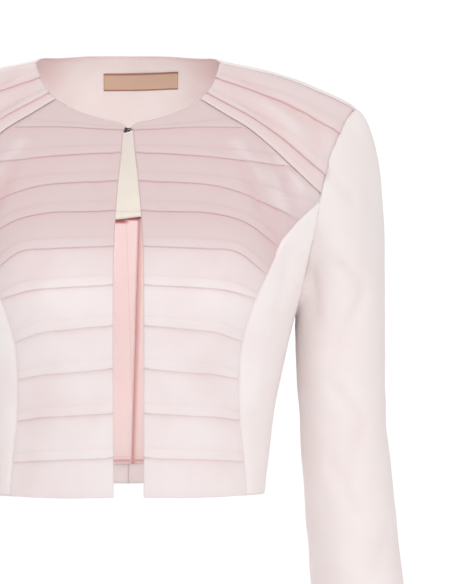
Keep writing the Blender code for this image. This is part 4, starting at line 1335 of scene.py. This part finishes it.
def thread(name, colour, dark):
    made = Finish(name, 0.6, {"Sheen Weight": 0.2})
    x, y, z = made.split(made.object_place())
    twist = ((x + z) * 9000.0 + y * 5000.0).sine()
    made.link(made.mix(twist * 0.3 + 0.35, colour, dark), "Base Color")
    made.bump(twist, 0.3, 0.0001)
    return made.material


def black_wire():
    """Enamelled steel, rubbed a little brighter in places."""
    made = Finish("black enamelled wire", 0.5, {"Specular IOR Level": 0.12})
    place = made.object_place()
    wear = made.noise(place, 900.0, 3.0)
    made.link(made.mix(wear * 0.35, linear(10, 9, 10), linear(28, 26, 26)), "Base Color")
    made.link(wear * 0.25 + 0.42, "Roughness")
    made.bump(made.noise(place, 2500.0), 0.12, 0.00005)
    return made.material


finishes["lining"] = lining_cloth()
finishes["label"] = label_cloth()
finishes["wire"] = black_wire()
THREAD_COLOURS = {
    "overlock": ((248, 196, 194), (228, 158, 158)), "pink": ((214, 176, 172), (186, 140, 138)),
    "sand": ((236, 214, 192), (206, 176, 150)), "black": ((24, 22, 22), (12, 11, 11)),
}
for word, (colour, dark) in THREAD_COLOURS.items():
    finishes[f"{word} thread"] = thread(f"{word} thread", linear(*colour), linear(*dark))
print("finishes:", sorted(finishes))

# %% [markdown]
# ## Putting finishes on and tying pieces to the frame
#
# A piece that takes the place of a solid goes by that solid's name, and so the solid isn't shown.
# Every free sheet also has its cut listed, all round where it is a tube, and the share of that cut
# which shows is printed. A tucked panel is cut longer than it shows, but the size given is that of
# the cloth which shows.

# %% Finishes and flat sizes
# the finish of each piece that isn't called after it
FINISH_OF = {
    "neck_facing": "facing", "hook": "wire", "eye": "wire", "overlock_thread": "overlock thread",
    "pleat_thread": "pink thread", "facing_thread": "pink thread", "label_thread": "sand thread",
    "fastening_thread": "black thread",
}
for name, piece in pieces.items():
    finish = finishes[FINISH_OF.get(name, name.partition("_")[0])]
    piece.data.materials.clear()
    piece.data.materials.append(finish)


def cloth_area(piece):
    """The area of one layer, in square metres."""
    return sum(face.area for face in piece.data.polygons)


NODES = [name for name in pieces if not name.endswith("_thread")]
for name in NODES:
    piece = pieces[name]
    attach(piece, "root")
    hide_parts(name)
for name, piece in pieces.items():
    if name.endswith("_thread"):
        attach(piece, "root")

# widest, longest, share of that rectangle which the cut fills, how it is held, what it hangs from
CUTS = {
    "front": (0.166, 0.345, 0.69, "hung", ["yoke_{}"]),
    "yoke": (0.136, 0.104, 0.74, "laid", ["front_{}"]),
    "side": (0.121, 0.284, 0.62, "hung", ["front_{}"]),
    "back": (0.240, 0.460, 0.73, "hung", ["yoke_{}"]),
    "sleeve": (0.290, 0.574, 0.83, "hung", ["back_{}"]),
    "lining": (0.186, 0.262, 0.84, "hung", ["neck_facing"]),
    "neck": (0.377, 0.215, 0.65, "hung", ["back_left", "back_right"]),
    "label": (0.069, 0.021, 1.0, "laid", ["neck_facing"]),
}
for name in NODES:
    kind, _, word = name.partition("_")
    if kind in CUTS:
        width, length, share, held, rests = CUTS[kind]
        flat_area = width * length * share
        rests = [pieces[r.format(word)].name for r in rests]
        riders = [pieces["label_thread"]] if kind == "label" else []
        print(name, "shows", round(cloth_area(pieces[name]) / flat_area, 2), "of its cut")

# %% [markdown]
# ## Studio
#
# The photograph is taken from straight in front, level with the chest, with even light and a
# ground so pale that it melts into white. A disc that fades out at its rim gives that. Two faint
# lamps inside the jacket stand in for the light that bounces about between its pale walls.

# %% Floor
FLOOR_Z = -800 * MM
bm = bmesh.new()
bmesh.ops.create_circle(bm, cap_ends=True, segments=96, radius=1.9)
bmesh.ops.translate(bm, verts=bm.verts[:], vec=(0, 0, FLOOR_Z))
mesh = bpy.data.meshes.new("floor")
bm.to_mesh(mesh)
bm.free()
floor = add_object("floor", mesh)
pale = Finish("pale floor", 0.9)
speck = pale.noise(pale.object_place(), 40.0)
pale.link(pale.mix(speck * 0.1, linear(252, 251, 250), linear(240, 239, 238)), "Base Color")
reach = pale.node("ShaderNodeVectorMath", {"operation": "LENGTH"}, {0: pale.object_place()})
pale.link(pale.ramp(reach.outputs["Value"], 0.85, 2.0, (0.9, 0.0), "SMOOTHSTEP"), "Alpha")
floor.data.materials.append(pale.material)
print("floor at", FLOOR_Z)

# %% World and lights
world = bpy.data.worlds.new("studio")
bpy.context.scene.world = world
air = Nodes(world)
white = (1, 1, 1, 1)
sky = air.node("ShaderNodeBackground", {}, {"Color": white, "Strength": 0.70})
backdrop = air.node("ShaderNodeBackground", {}, {"Color": white, "Strength": 1.05})
seen = air.node("ShaderNodeLightPath").outputs["Is Camera Ray"]
choice = air.node("ShaderNodeMixShader", {}, {0: seen, 1: sky.outputs[0], 2: backdrop.outputs[0]})
air.tree.links.new(choice.outputs[0], air.tree.nodes["World Output"].inputs["Surface"])
bpy.context.scene.view_settings.view_transform = "Standard"


def aimed(holder, place, aim):
    """Puts a lamp or a camera in its place and points it at its aim."""
    holder.location = place
    holder.rotation_euler = (Vector(aim) - Vector(place)).to_track_quat("-Z", "Y").to_euler()
    return holder


def soft_light(name, place, aim, size, watts):
    lamp = bpy.data.lights.new(name, "AREA")
    lamp.shape = "DISK"
    lamp.size = size
    lamp.energy = watts
    return aimed(add_object(name, lamp), place, aim)


soft_light("key", (-0.7, -1.2, 1.8), (0, 0, -0.25), 0.6, 9)
soft_light("front", (0.15, -2.6, 0.0), (0, 0, -0.25), 0.8, 9.5)
soft_light("fill", (1.7, -1.6, 0.2), (0.1, 0, -0.3), 1.2, 6.5)
soft_light("behind", (-0.9, 1.8, 1.2), (0, 0, -0.3), 0.6, 16)
for word, level, watts in (("high", -0.135, 0.085), ("low", -0.29, 0.047)):
    inner = soft_light(f"inside {word}", (0, -0.035, level), (0, 1, level), 0.10, watts)
    inner.visible_camera = False
print("lights:", [o.name for o in bpy.data.objects if o.type == "LIGHT"])

# %% Camera
lens = bpy.data.cameras.new("camera")
lens.sensor_fit = "AUTO"
lens.sensor_width = 36
lens.lens = 153.4
lens.dof.use_dof = False
camera = aimed(add_object("camera", lens), (0, -2.2, -0.1539), (0.0863, 0, -0.207))
bpy.context.scene.camera = camera
print("camera lens:", lens.lens)
